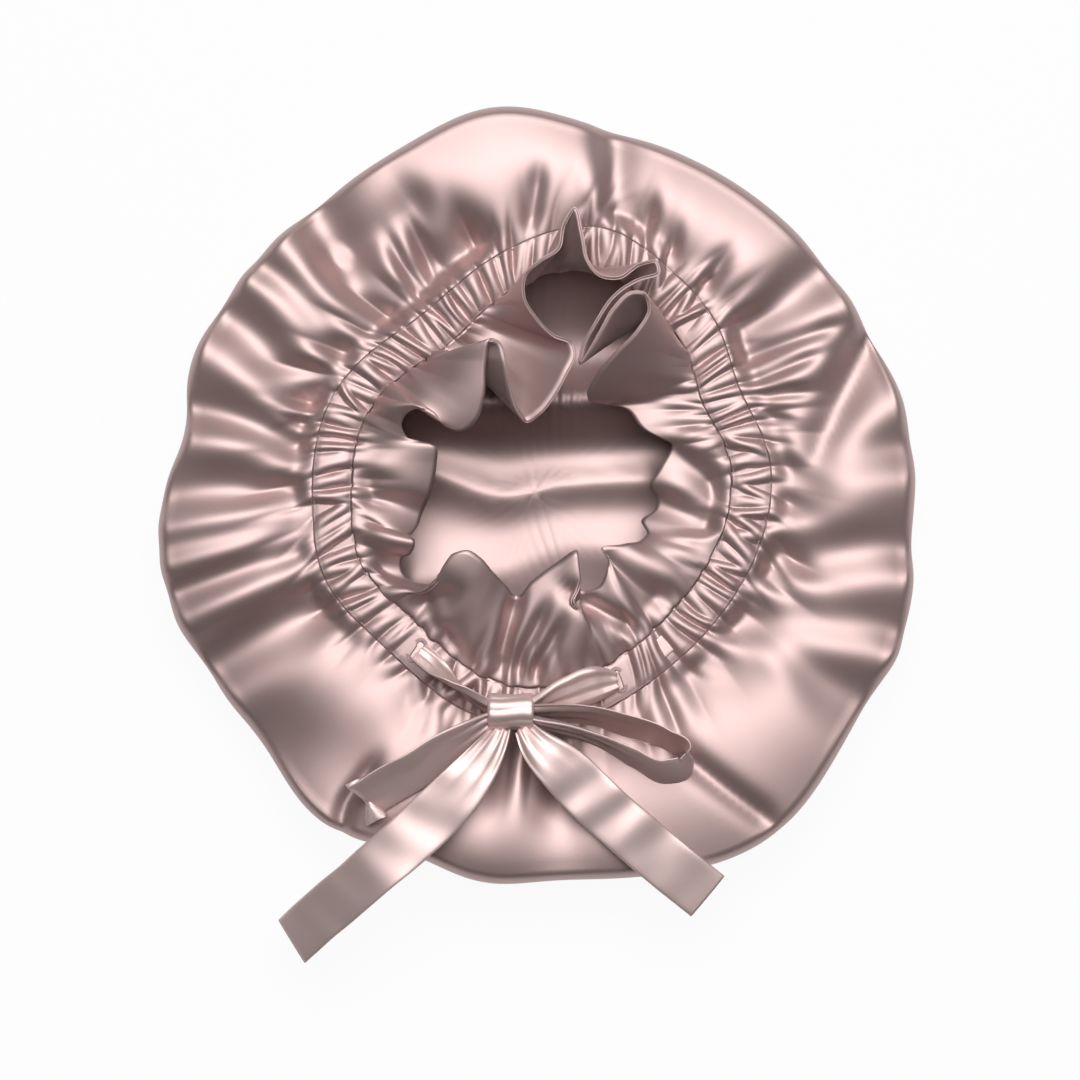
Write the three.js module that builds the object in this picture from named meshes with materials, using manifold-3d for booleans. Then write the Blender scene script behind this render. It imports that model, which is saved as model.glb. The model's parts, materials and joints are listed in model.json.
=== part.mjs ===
// A satin hair bonnet lying on its crown with the gathered mouth up, in millimetres with +Z up.
// The origin is the middle of the face that the crown rests on, and the tied bow is towards -Y.

import * as THREE from "three";
import { mergeVertices } from "three/addons/utils/BufferGeometryUtils.js";
import Module from "manifold-3d";

// Cloth: each layer of satin is thickened to a solid, with a clearance to what it touches.
const SATIN = 0.8;
const PLY_GAP = 0.4;
const CLEARANCE = 0.4;

// Crown: the puffed bag of outer satin and lining. A lobe is [angle, spread, rise] of its edge.
const CROWN_RADIUS = 155;
const CROWN_HEIGHT = 44;
const CROWN_SIDE = 16;
const CROWN_EDGE_HEIGHT = 28;
const CROWN_CREST = 3;
const CROWN_LOBES = [
  [8, 16, 5],
  [96, 12, 8],
  [130, 20, -3],
  [171, 6, -6],
  [195, 16, 6],
  [238, 12, 10],
  [262, 10, 9],
  [304, 20, 20],
  [338, 14, 11],
];

// Folds of the crown's upper face, each a valley: [angle at the casing, angle at the edge, spread, depth].
const CROWN_FOLDS = [
  [344, 359, 6, 7],
  [357, 9, 5, 6],
  [3, 25, 5, 7],
  [38, 38, 6, 8],
  [54, 54, 5, 4],
  [72, 79, 5, 6],
  [91, 90, 4, 5],
  [112, 100, 6, 9],
  [133, 127, 6, 9],
  [146, 140, 4, 6],
  [160, 149, 6, 9],
  [172, 167, 5, 8],
  [183, 183, 5, 8],
  [195, 199, 6, 8],
  [230, 222, 7, 5],
  [262, 261, 6, 7],
  [274, 277, 5, 6],
  [300, 305, 6, 7],
  [314, 331, 5, 5],
  [328, 340, 5, 8],
];

// Above 1, moves the deepest part of a fold from the crest in towards the casing.
const FOLD_SHIFT = 1.3;

// Casing: the gathered channel between the crown and the frill, drawn up by the elastic.
const CASING_RADIUS = 88;
const CASING_CENTRE = new THREE.Vector2(3.4, 10.5);
const CASING_HEIGHT = 38;
const CASING_WIDTH = 15;
const CASING_LOBES = [
  [22, 16, -8],
  [76, 16, 7],
  [128, 28, -15],
  [208, 16, 6],
  [265, 30, 13],
];
const CASING_GATHERS = 50;
const GATHER_RISE = 1.6;
const GATHER_FLAT_ANGLE = 6;
const THREAD = 0.9;

// Elastic inside the casing, sewn at both ends to the ribbon ties.
const ELASTIC_WIDTH = 10;
const ELASTIC_THICKNESS = 1.2;
const TACK_LENGTH = 4;

// Frill: the free header beyond the casing, leaning in and curling over in folds.
// Its edge goes round in rows of [angle at the casing, right, back, rise above the casing, arch],
// where arch is how far the cloth stands above a straight line on its way from the casing.
const FRILL_EDGE = [
  [-22, 47, -17, -5, 5],
  [-11, 49, -5, -6, 6],
  [0, 51, 8, -2, 7],
  [9, 56, 19, 2, 5],
  [16, 43, 28, -2, 3],
  [23, 31, 36, -2, 1],
  [28, 23, 41, 3, 2],
  [33, 29, 53, 15, 4],
  [38, 41, 66, 22, 2],
  [43, 47, 77, 24, 1],
  [47, 41, 83, 24, 0],
  [51, 33, 75, 24, 0],
  [54, 28, 66, 21, 0],
  [56.5, 23, 63, 20, 0],
  [59, 22, 70, 20, 0],
  [62, 28, 80, 20, 0],
  [64.5, 40, 86, 19, 0],
  [67.5, 49, 90, 18, 0],
  [70.5, 49, 95, 18, 0],
  [74, 41, 95, 19, 0],
  [77, 34, 89, 20, 0],
  [80, 27, 89, 20, 0],
  [84, 22, 96, 20, 0],
  [87, 21, 105, 20, 0],
  [89, 20, 110, 20, 0],
  [91, 15, 113, 20, 0],
  [94, 9, 110, 20, 0],
  [97, 7, 103, 20, 0],
  [100, 4, 96, 20, 0],
  [103.5, -3, 89, 19, 0],
  [107, -3, 79, 17, 1],
  [110, 6, 66, 14, 2],
  [114, 15, 60, 13, 2],
  [117, 13, 50, 16, 2],
  [121, 6, 37, 17, 3],
  [126, -3, 29, 17, 4],
  [129.5, -8, 35, 18, 4],
  [132.5, -12, 40, 19, 4],
  [136, -17, 41, 20, 6],
  [139, -22, 38, 19, 7],
  [141.5, -25, 33, 17, 8],
  [143, -29, 28, 13, 9],
  [144.5, -35, 26, 12, 9],
  [146, -43, 31, 13, 8],
  [149.5, -50, 33, 10, 7],
  [156, -53, 27, 5, 6],
  [166, -49, 19, 3, 5],
  [174, -44, 13, 2, 4],
  [181, -43, 4, 0, 5],
  [188, -45, -6, -2, 6],
  [195, -50, -16, 2, 5],
  [201, -51, -24, 2, 5],
  [207, -52, -30, -1, 5],
  [213, -46, -33, 0, 6],
  [220, -39, -32, 5, 7],
  [227, -34, -27, 12, 6],
  [234, -28, -25, 15, 6],
  [241, -22, -28, 14, 6],
  [249, -14, -37, 8, 5],
  [258, -8, -43, 5, 5],
  [267, 1, -36, 6, 6],
  [275, 9, -30, 8, 7],
  [280, 14, -27, 9, 7],
  [284, 18, -29, 9, 7],
  [288, 21, -35, 7, 6],
  [292, 24, -40, 4, 5],
  [297, 29, -37, 5, 5],
  [302, 30, -29, 8, 6],
  [308, 33, -23, 8, 7],
  [317, 39, -21, 5, 7],
  [327, 44, -20, -1, 6],
];

// The share of the way from the casing to the edge at which the cloth turns over.
const FRILL_TURN = 0.45;

// Buttonholes: bound slits across the casing, at equal angles each side of the bow.
const BOW_ANGLE = 262.5;
const SLIT_ANGLE = 27;
const SLIT_LENGTH = 8.4;
const SLIT_WIDTH = 2.4;
const BINDING_WIDTH = 1.2;
const BINDING_HEIGHT = 0.8;

// Ribbon tie and its bow.
const RIBBON_WIDTH = 22;
const RIBBON_THICKNESS = 1;
const RIBBON_PINCH = 7;
const KNOT_LENGTH = 16;
const KNOT_DEPTH = 13;
const KNOT_HEIGHT = 11;
const KNOT_REACH = 2;
const LOOP_PUFF = 5;
const TAIL_FALL = 120;

// Samples round and along each piece.
const CROWN_RIBS = 75;
const GATHER_STEPS = 2;
const FRILL_STEPS = 2;
const RIBBON_STATIONS = 26;

const SATIN_COLOUR = 0xcfa9a6;
const LINING_COLOUR = 0xc9a3a0;
const RIBBON_COLOUR = 0xd6b2af;
const THREAD_COLOUR = 0xb98f8d;
const ELASTIC_COLOUR = 0xeae4df;

const FULL_TURN = 360;
const SEAM_GAP = THREAD + 2 * CLEARANCE;
const CASING_EDGE = CASING_WIDTH / 2;
const CASING_MIDDLE = CASING_HEIGHT - SATIN - PLY_GAP / 2;
const TUNNEL = ELASTIC_THICKNESS / 2 + CLEARANCE;
const CASING_TOP = CASING_MIDDLE + TUNNEL + SATIN;
const LINING_DEPTH = SATIN + PLY_GAP;

const wasm = await Module();
wasm.setup();

const { degToRad, lerp, smoothstep } = THREE.MathUtils;

function heading(angle) {
  return new THREE.Vector2(1, 0).rotateAround(new THREE.Vector2(), degToRad(angle));
}

// The signed difference between two angles, from -180 to 180 degrees.
function apart(a, b) {
  return THREE.MathUtils.euclideanModulo(a - b + FULL_TURN / 2, FULL_TURN) - FULL_TURN / 2;
}

// The sum of soft bumps, each [angle, spread, size], at an angle.
function bumps(list, angle) {
  let sum = 0;
  for (const [at, spread, size] of list) sum += size * Math.exp(-((apart(angle, at) / spread) ** 2));
  return sum;
}

function crownEdge(angle) {
  return CROWN_RADIUS + bumps(CROWN_LOBES, angle);
}

// A plan point of the casing, offset outwards from the casing's middle line.
function casingPlan(angle, offset) {
  const radius = CASING_RADIUS + bumps(CASING_LOBES, angle) + offset;
  return heading(angle).multiplyScalar(radius).add(CASING_CENTRE);
}

function raised(plan, height) {
  return new THREE.Vector3(plan.x, plan.y, height);
}

// How deep the crown's folds are at an angle, where inward runs from 0 at the edge to 1 at the casing.
function foldDepth(angle, inward) {
  const valleys = CROWN_FOLDS.map(([seam, edge, spread, depth]) => {
    return [edge + inward * apart(seam, edge), spread, depth];
  });
  return bumps(valleys, angle);
}

// A point of the crown. Station 0 to 1 runs out along the resting face, 1 to 2 up round the side,
// and 2 to 3 in over the top to the casing's seam. Depth is measured in from the outer face.
function crownPoint(angle, station, depth) {
  const shoulder = crownEdge(angle) - CROWN_SIDE;
  const out = heading(angle);
  if (station <= 1) return raised(out.multiplyScalar(shoulder * station), depth);
  const climb = ((station - 1) / 2) ** FOLD_SHIFT;
  const fold = foldDepth(angle, Math.max(station - 2, 0)) * Math.sin(climb * Math.PI) ** 2;
  if (station <= 2) {
    const turn = (station - 1.5) * Math.PI;
    const reach = shoulder + (CROWN_SIDE - depth) * Math.cos(turn);
    const swell = turn > 0 ? CROWN_HEIGHT - CROWN_EDGE_HEIGHT : CROWN_EDGE_HEIGHT;
    return raised(out.multiplyScalar(reach), CROWN_EDGE_HEIGHT + (swell - depth) * Math.sin(turn) - fold);
  }
  const share = station - 2;
  const seam = casingPlan(angle, CASING_EDGE + SEAM_GAP);
  const crest = CROWN_CREST * Math.sin(share * Math.PI);
  const height = lerp(CROWN_HEIGHT, CASING_HEIGHT, smoothstep(share, 0, 1)) + crest - depth - fold;
  return raised(out.multiplyScalar(shoulder).lerp(seam, share), height);
}

// A solid swept through sections, each a closed loop of as many points; an open run is capped.
// The way back of a section is split along the same diagonals as its way out, so layers stay parallel.
function sweep(sections, closed) {
  const size = sections[0].length;
  const positions = sections.flat().flatMap((p) => [p.x, p.y, p.z]);
  const index = [];
  const runs = closed ? sections.length : sections.length - 1;
  for (let i = 0; i < runs; i++) {
    const here = i * size;
    const next = ((i + 1) % sections.length) * size;
    for (let k = 0; k < size; k++) {
      const l = (k + 1) % size;
      if (k < size / 2) index.push(here + k, here + l, next + l, here + k, next + l, next + k);
      else index.push(here + k, here + l, next + k, here + l, next + l, next + k);
    }
  }
  if (!closed) {
    const last = runs * size;
    for (let k = 1; k < size - 1; k++) {
      index.push(0, k + 1, k);
      index.push(last, last + k, last + k + 1);
    }
  }
  const geometry = new THREE.BufferGeometry();
  geometry.setAttribute("position", new THREE.Float32BufferAttribute(positions, 3));
  geometry.setIndex(index);
  return facingOut(welded(geometry));
}

// Shared vertices merged, and faces that collapsed at a pole dropped.
function welded(geometry) {
  const merged = mergeVertices(geometry, 1e-3);
  const from = merged.index.array;
  const kept = [];
  for (let i = 0; i < from.length; i += 3) {
    const [a, b, c] = from.subarray(i, i + 3);
    if (a !== b && b !== c && c !== a) kept.push(a, b, c);
  }
  merged.setIndex(kept);
  return merged;
}

function facingOut(geometry) {
  const at = geometry.getAttribute("position");
  const faces = geometry.index.array;
  const [a, b, c] = [new THREE.Vector3(), new THREE.Vector3(), new THREE.Vector3()];
  let volume = 0;
  for (let i = 0; i < faces.length; i += 3) {
    a.fromBufferAttribute(at, faces[i]);
    b.fromBufferAttribute(at, faces[i + 1]);
    c.fromBufferAttribute(at, faces[i + 2]);
    volume += a.dot(b.cross(c));
  }
  if (volume < 0) geometry.setIndex([...faces].reverse());
  geometry.computeVertexNormals();
  return geometry;
}

// A closed run of sections round the whole turn.
function ring(steps, section) {
  const sections = Array.from({ length: steps }, (_, i) => section((i / steps) * FULL_TURN));
  return sweep(sections, true);
}

function asSolid(geometry) {
  const bare = geometry.clone();
  bare.deleteAttribute("normal");
  bare.deleteAttribute("uv");
  const merged = mergeVertices(bare, 1e-3);
  const vertProperties = new Float32Array(merged.getAttribute("position").array);
  const triVerts = new Uint32Array(merged.index.array);
  return new wasm.Manifold(new wasm.Mesh({ numProp: 3, vertProperties, triVerts }));
}

function asGeometry(solid) {
  const { vertProperties, triVerts } = solid.getMesh();
  const geometry = new THREE.BufferGeometry();
  geometry.setAttribute("position", new THREE.BufferAttribute(vertProperties, 3));
  geometry.setIndex(new THREE.BufferAttribute(triVerts, 1));
  geometry.computeVertexNormals();
  return geometry;
}

const bonnet = new THREE.Group();

function add(name, geometry, colour, roughness) {
  const material = new THREE.MeshStandardMaterial({ color: colour, roughness, metalness: 0 });
  const mesh = new THREE.Mesh(geometry, material);
  mesh.name = name;
  bonnet.add(mesh);
  return mesh;
}

// Crown: one bag of outer satin and one of lining inside it.
const CROWN_STATIONS = [0, 1, 1.3, 1.6, 2, 2.4, 2.75, 3];

function crownBag(depth) {
  const face = (angle, d) => CROWN_STATIONS.map((station) => crownPoint(angle, station, d));
  return ring(CROWN_RIBS, (angle) => [...face(angle, depth), ...face(angle, depth + SATIN).reverse()]);
}

add("crown_outer", crownBag(0), SATIN_COLOUR, 0.4);
add("crown_lining", crownBag(LINING_DEPTH), LINING_COLOUR, 0.42);

// Casing: an upper and a lower strip with a tunnel between them for the elastic.
const slitAngles = { left: BOW_ANGLE - SLIT_ANGLE, right: BOW_ANGLE + SLIT_ANGLE };
const TUNNEL_EDGE = ELASTIC_WIDTH / 2 + CLEARANCE;

// Gathers stand up between the buttonholes and lie flat at them.
function gather(angle) {
  const nearness = (at) => Math.exp(-((apart(angle, at) / GATHER_FLAT_ANGLE) ** 4));
  const flat = Math.max(...Object.values(slitAngles).map(nearness));
  const wave = (1 - Math.cos(degToRad(CASING_GATHERS * angle))) / 2;
  return GATHER_RISE * (1 - flat) * wave;
}

// A strip's section, from its crown edge to its frill edge and back.
// Side is 1 above the tunnel and -1 below it.
function casingStrip(angle, side, rise) {
  const across = [CASING_EDGE, TUNNEL_EDGE, -TUNNEL_EDGE, -CASING_EDGE];
  const heights = [PLY_GAP / 2, TUNNEL + rise, TUNNEL + rise, PLY_GAP / 2];
  const point = (k, extra) =>
    raised(casingPlan(angle, across[k]), CASING_MIDDLE + side * (heights[k] + extra));
  const line = (extra) => across.map((_, k) => point(k, extra));
  return [...line(0), ...line(SATIN).reverse()];
}

// The middle of a buttonhole, on the casing's top face.
function slitPlace(side) {
  return raised(casingPlan(slitAngles[side], 0), CASING_TOP);
}

function slitOutline(length, width) {
  const shape = new THREE.Shape();
  const half = (length - width) / 2;
  shape.absarc(half, 0, width / 2, -Math.PI / 2, Math.PI / 2);
  shape.absarc(-half, 0, width / 2, Math.PI / 2, (3 * Math.PI) / 2);
  return shape;
}

function slitSolid(side, shape, low, height) {
  const options = { depth: height, bevelEnabled: false, curveSegments: 4 };
  const geometry = new THREE.ExtrudeGeometry(shape, options);
  const place = slitPlace(side);
  geometry.rotateZ(degToRad(slitAngles[side]));
  geometry.translate(place.x, place.y, place.z + low);
  return geometry;
}

const upperStrip = (angle) => casingStrip(angle, 1, gather(angle));
let casingOuter = asSolid(ring(CASING_GATHERS * GATHER_STEPS, upperStrip));
for (const side of Object.keys(slitAngles)) {
  const cutter = slitSolid(side, slitOutline(SLIT_LENGTH, SLIT_WIDTH), -2 * TUNNEL, 4 * TUNNEL);
  casingOuter = casingOuter.subtract(asSolid(cutter));
}
add("casing_outer", asGeometry(casingOuter), SATIN_COLOUR, 0.42);
add("casing_lining", ring(CROWN_RIBS, (angle) => casingStrip(angle, -1, 0)), LINING_COLOUR, 0.42);

for (const side of Object.keys(slitAngles)) {
  const binding = slitOutline(SLIT_LENGTH + 2 * BINDING_WIDTH, SLIT_WIDTH + 2 * BINDING_WIDTH);
  binding.holes.push(slitOutline(SLIT_LENGTH, SLIT_WIDTH));
  add(`buttonhole_${side}`, slitSolid(side, binding, CLEARANCE, BINDING_HEIGHT), THREAD_COLOUR, 0.6);
}

// Elastic: a flat band round the back, then a short length of ribbon to each buttonhole.
// A bar tack sews the ribbon to the elastic's end.
const TIE_RUN_ANGLE = 12;
const TACK_GAP_ANGLE = degOf(CLEARANCE);

// The angle that a length along the casing's middle line covers.
function degOf(length) {
  return THREE.MathUtils.radToDeg(length / CASING_RADIUS);
}

function flatSection(angle, width, low, high) {
  const [out, inner] = [casingPlan(angle, width / 2), casingPlan(angle, -width / 2)];
  return [raised(out, low), raised(out, high), raised(inner, high), raised(inner, low)];
}

// A flat band inside the tunnel between two angles, the second one larger.
function band(from, to, width, low, high) {
  const steps = Math.max(2, Math.round((to - from) / (FULL_TURN / CROWN_RIBS)));
  const section = (_, i) => flatSection(lerp(from, to, i / steps), width, low, high);
  return sweep(Array.from({ length: steps + 1 }, section), false);
}

const halfElastic = ELASTIC_THICKNESS / 2;
const elasticEnds = {
  left: slitAngles.left - TIE_RUN_ANGLE,
  right: slitAngles.right + TIE_RUN_ANGLE - FULL_TURN,
};
const elasticRise = [CASING_MIDDLE - halfElastic, CASING_MIDDLE];
const elastic = band(elasticEnds.right, elasticEnds.left, ELASTIC_WIDTH, ...elasticRise);
add("elastic_band", elastic, ELASTIC_COLOUR, 0.8);

// The ribbon's end lies on the elastic's end and runs on to just past the slit.
const tieLow = CASING_MIDDLE + CLEARANCE / 2;
const tieRise = [tieLow, tieLow + halfElastic];
const tieLap = degOf(2 * TACK_LENGTH);
const tiePast = degOf(SLIT_WIDTH);
const tieSpans = {
  left: [elasticEnds.left - tieLap, slitAngles.left + tiePast],
  right: [slitAngles.right - tiePast - FULL_TURN, elasticEnds.right + tieLap],
};
const tackNear = tieLap + TACK_GAP_ANGLE;
const tackFar = tackNear + degOf(TACK_LENGTH);
const tackSpans = {
  left: [elasticEnds.left - tackFar, elasticEnds.left - tackNear],
  right: [elasticEnds.right + tackNear, elasticEnds.right + tackFar],
};
for (const side of Object.keys(slitAngles)) {
  add(`tie_anchor_${side}`, band(...tieSpans[side], SLIT_LENGTH, ...tieRise), RIBBON_COLOUR, 0.42);
  add(`elastic_tack_${side}`, band(...tackSpans[side], SLIT_LENGTH, ...tieRise), THREAD_COLOUR, 0.6);
}

// Stitch rows: a line of thread in each seam of the casing.
function threadRing(offset) {
  const half = THREAD / 2;
  return ring(CROWN_RIBS, (angle) => {
    const middle = raised(casingPlan(angle, offset), CASING_MIDDLE);
    const out = raised(heading(angle).multiplyScalar(half), 0);
    const up = new THREE.Vector3(0, 0, half);
    return [out, up, out.clone().negate(), up.clone().negate()].map((step) => middle.clone().add(step));
  });
}

add("crown_stitch_row", threadRing(CASING_EDGE + SEAM_GAP / 2), THREAD_COLOUR, 0.6);
add("frill_stitch_row", threadRing(-CASING_EDGE - SEAM_GAP / 2), THREAD_COLOUR, 0.6);

// Frill: strips from the casing's seam to the edge, each turned over once on its way.
const edgePlaces = FRILL_EDGE.map(([, right, back, rise]) => {
  return new THREE.Vector3(right, back, CASING_HEIGHT + rise);
});
const frillEdge = new THREE.CatmullRomCurve3(edgePlaces, true);

// A point of the frill's outer face: place counts rows of its edge, and share runs from seam to edge.
function frillFace(place, share) {
  const rows = FRILL_EDGE.length;
  const at = THREE.MathUtils.euclideanModulo(place, rows);
  const [angle, , , , arch] = FRILL_EDGE[Math.floor(at)];
  const [nextAngle, , , , nextArch] = FRILL_EDGE[(Math.floor(at) + 1) % rows];
  const past = at % 1;
  const seamAngle = angle + past * apart(nextAngle, angle);
  const seam = raised(casingPlan(seamAngle, -CASING_EDGE - SEAM_GAP), CASING_HEIGHT);
  const edge = frillEdge.getPoint(at / rows);
  const turn = seam.clone().lerp(edge, FRILL_TURN);
  turn.z = (seam.z + edge.z) / 2 + lerp(arch, nextArch, past);
  return new THREE.QuadraticBezierCurve3(seam, turn, edge).getPoint(share);
}

// The way out along the frill at a point, and its face set back along its own normal.
const FRILL_STEP = 0.02;

function frillWay(place, share) {
  return frillFace(place, share + FRILL_STEP).sub(frillFace(place, share - FRILL_STEP)).normalize();
}

function frillPoint(place, share, depth) {
  const along = frillFace(place + FRILL_STEP, share).sub(frillFace(place - FRILL_STEP, share));
  const normal = along.cross(frillWay(place, share)).normalize();
  return frillFace(place, share).addScaledVector(normal, -depth);
}

const FRILL_SHARES = [0, 0.3, 0.65, 1];

function frillRing(section) {
  const count = FRILL_EDGE.length * FRILL_STEPS;
  return sweep(Array.from({ length: count }, (_, i) => section(i / FRILL_STEPS)), true);
}

function frillPly(depth) {
  return frillRing((place) => {
    const face = (d) => FRILL_SHARES.map((share) => frillPoint(place, share, d));
    return [...face(depth), ...face(depth + SATIN).reverse()];
  });
}

add("frill_outer", frillPly(0), SATIN_COLOUR, 0.4);
add("frill_lining", frillPly(LINING_DEPTH), LINING_COLOUR, 0.42);

// The stitched edge runs just past the two layers' edges.
const EDGE_DEPTH = SATIN + PLY_GAP / 2;
const edgeThread = frillRing((place) => {
  const half = THREAD / 2;
  const beyond = 2 * CLEARANCE + half;
  const point = (depth, past) => frillPoint(place, 1, depth).addScaledVector(frillWay(place, 1), past);
  return [
    point(EDGE_DEPTH, beyond - half),
    point(EDGE_DEPTH - half, beyond),
    point(EDGE_DEPTH, beyond + half),
    point(EDGE_DEPTH + half, beyond),
  ];
});
add("frill_edge_stitch", edgeThread, THREAD_COLOUR, 0.6);

// The height of the crown's outer face under a round patch of the plan, for what lies on it.
const FACE_ANGLE_STEP = 1.5;
const FACE_STATIONS = Array.from({ length: 33 }, (_, i) => 1.4 + 0.05 * i);
const crownFace = [];
for (let angle = 0; angle < FULL_TURN; angle += FACE_ANGLE_STEP) {
  for (const station of FACE_STATIONS) crownFace.push(crownPoint(angle, station, 0));
}

function crownTop(x, y, reach) {
  let top = 0;
  for (const p of crownFace) if (Math.hypot(p.x - x, p.y - y) < reach) top = Math.max(top, p.z);
  return top;
}

// The height at which a ribbon lies at a plan point: on the crown, then falling from its edge.
function drape(x, y) {
  const past = Math.hypot(x, y) - crownEdge(THREE.MathUtils.radToDeg(Math.atan2(y, x)));
  const fallen = smoothstep(past + RIBBON_WIDTH / 2, 0, TAIL_FALL);
  const onTop = past < -RIBBON_WIDTH / 2 ? crownTop(x, y, RIBBON_WIDTH / 2) : CROWN_HEIGHT;
  return onTop * (1 - fallen) + RIBBON_THICKNESS;
}

// A flat ribbon through stations of { at, side, width }: side points across its width.
function ribbon(stations) {
  const path = new THREE.CatmullRomCurve3(stations.map((s) => s.at));
  const sides = new THREE.CatmullRomCurve3(stations.map((s) => s.side));
  const widths = new THREE.CatmullRomCurve3(stations.map((s) => new THREE.Vector3(s.width, 0, 0)));
  const sections = Array.from({ length: RIBBON_STATIONS + 1 }, (_, i) => {
    const t = i / RIBBON_STATIONS;
    const at = path.getPoint(t);
    const along = path.getTangent(t);
    const normal = along.clone().cross(sides.getPoint(t)).normalize();
    const across = normal.clone().cross(along).normalize().multiplyScalar(widths.getPoint(t).x / 2);
    normal.multiplyScalar(RIBBON_THICKNESS / 2);
    return [
      at.clone().add(across).add(normal),
      at.clone().sub(across).add(normal),
      at.clone().sub(across).sub(normal),
      at.clone().add(across).sub(normal),
    ];
  });
  return sweep(sections, false);
}

// Knot: a short barrel of ribbon wrapped round the bow's middle, resting on the gathered casing.
const knotPlan = casingPlan(BOW_ANGLE, KNOT_REACH);
const knotAt = raised(knotPlan, CASING_TOP + GATHER_RISE + CLEARANCE + KNOT_HEIGHT / 2);

function knotBarrel() {
  const half = KNOT_LENGTH / 2;
  const waist = KNOT_DEPTH / 2;
  const profile = [
    new THREE.Vector2(0, -half),
    new THREE.Vector2(waist * 0.8, -half),
    new THREE.Vector2(waist * 0.97, -half * 0.72),
    new THREE.Vector2(waist, 0),
    new THREE.Vector2(waist * 0.97, half * 0.72),
    new THREE.Vector2(waist * 0.8, half),
    new THREE.Vector2(0, half),
  ];
  const geometry = new THREE.LatheGeometry(profile, 16);
  geometry.rotateZ(-Math.PI / 2);
  geometry.scale(1, 1, KNOT_HEIGHT / KNOT_DEPTH);
  geometry.deleteAttribute("normal");
  geometry.deleteAttribute("uv");
  return facingOut(welded(geometry));
}

const knot = add("knot", knotBarrel(), RIBBON_COLOUR, 0.42);
knot.position.copy(knotAt);

// A point placed from the knot's middle: dx and dy in the plan, rise above or below it.
function fromKnot(dx, dy, rise) {
  return knotAt.clone().add(new THREE.Vector3(dx, dy, rise));
}

const knotSide = KNOT_LENGTH / 2 + CLEARANCE;
const knotFront = KNOT_DEPTH / 2 + CLEARANCE;

// Ties: the ribbon's run from each buttonhole to the knot.
const exitRise = CLEARANCE + BINDING_HEIGHT + CLEARANCE + RIBBON_THICKNESS;
const exits = {};
for (const side of Object.keys(slitAngles)) {
  exits[side] = slitPlace(side).add(new THREE.Vector3(0, 0, exitRise));
}

function tieRun(side, turn) {
  const start = exits[side];
  const end = fromKnot(turn * (knotSide + RIBBON_THICKNESS), 1, 0);
  const across = raised(heading(slitAngles[side]), 0);
  const upright = new THREE.Vector3(0, 0.5, 1).normalize();
  const middle = start.clone().lerp(end, 0.5).add(new THREE.Vector3(0, -1, 1.5));
  return ribbon([
    { at: start, side: across, width: SLIT_LENGTH },
    { at: middle, side: across.clone().lerp(upright, 0.35), width: SLIT_LENGTH },
    { at: end, side: upright, width: RIBBON_PINCH },
  ]);
}

add("tie_run_left", tieRun("left", -1), RIBBON_COLOUR, 0.42);
add("tie_run_right", tieRun("right", 1), RIBBON_COLOUR, 0.42);

// Places for the bow's loops and tails, measured in the plan from the knot and up from the crown.
function onCrown(dx, dy, rise) {
  const [x, y] = [knotAt.x + dx, knotAt.y + dy];
  return new THREE.Vector3(x, y, drape(x, y) + rise);
}

// Left loop: a flattened loop lying on the crown, its mouth tipped up towards the frill.
const leftSide = new THREE.Vector3(0.5, -0.8, -0.3).normalize();
const leftRoot = new THREE.Vector3(0, -0.9, -0.4).normalize();
const LOOP_LEFT_LOW = 3;
const LOOP_LEFT_HIGH = LOOP_LEFT_LOW + LOOP_PUFF;
const loopLeft = ribbon([
  { at: fromKnot(-knotSide - RIBBON_THICKNESS, -3.6, -2.6), side: leftRoot, width: RIBBON_PINCH },
  { at: onCrown(-26, -17, LOOP_LEFT_LOW + 1), side: leftSide, width: RIBBON_WIDTH * 0.8 },
  { at: onCrown(-46, -29, LOOP_LEFT_LOW), side: leftSide, width: RIBBON_WIDTH },
  { at: onCrown(-59, -36, (LOOP_LEFT_LOW + LOOP_LEFT_HIGH) / 2), side: leftSide, width: RIBBON_WIDTH },
  { at: onCrown(-46, -28, LOOP_LEFT_HIGH), side: leftSide, width: RIBBON_WIDTH },
  { at: onCrown(-26, -15, LOOP_LEFT_HIGH + 1), side: leftSide, width: RIBBON_WIDTH * 0.8 },
  { at: fromKnot(-knotSide - RIBBON_THICKNESS, -3.2, 1.6), side: leftRoot, width: RIBBON_PINCH },
]);
add("loop_left", loopLeft, RIBBON_COLOUR, 0.42);

// Right loop: stands on its edge and leans out, so its mouth faces up.
const rightSide = new THREE.Vector3(0.15, -0.5, -0.85).normalize();
const rightRoot = new THREE.Vector3(0, -0.5, -0.85).normalize();
const LOOP_RIGHT_LOW = -rightSide.z * (RIBBON_WIDTH / 2);
const loopRight = ribbon([
  { at: fromKnot(knotSide + RIBBON_THICKNESS, -0.6, 0.4), side: rightRoot, width: RIBBON_PINCH },
  { at: onCrown(32, -1, LOOP_RIGHT_LOW), side: rightSide, width: RIBBON_WIDTH * 0.9 },
  { at: onCrown(54, -8, LOOP_RIGHT_LOW), side: rightSide, width: RIBBON_WIDTH },
  { at: onCrown(75, -17, LOOP_RIGHT_LOW), side: rightSide, width: RIBBON_WIDTH },
  { at: onCrown(66, -28, LOOP_RIGHT_LOW), side: rightSide, width: RIBBON_WIDTH },
  { at: onCrown(48, -20, LOOP_RIGHT_LOW), side: rightSide, width: RIBBON_WIDTH * 0.9 },
  { at: onCrown(30, -11, LOOP_RIGHT_LOW - 2), side: rightSide, width: RIBBON_WIDTH * 0.6 },
  { at: fromKnot(knotSide + RIBBON_THICKNESS, -3.4, 0.2), side: rightRoot, width: RIBBON_PINCH },
]);
add("loop_right", loopRight, RIBBON_COLOUR, 0.42);

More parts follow.
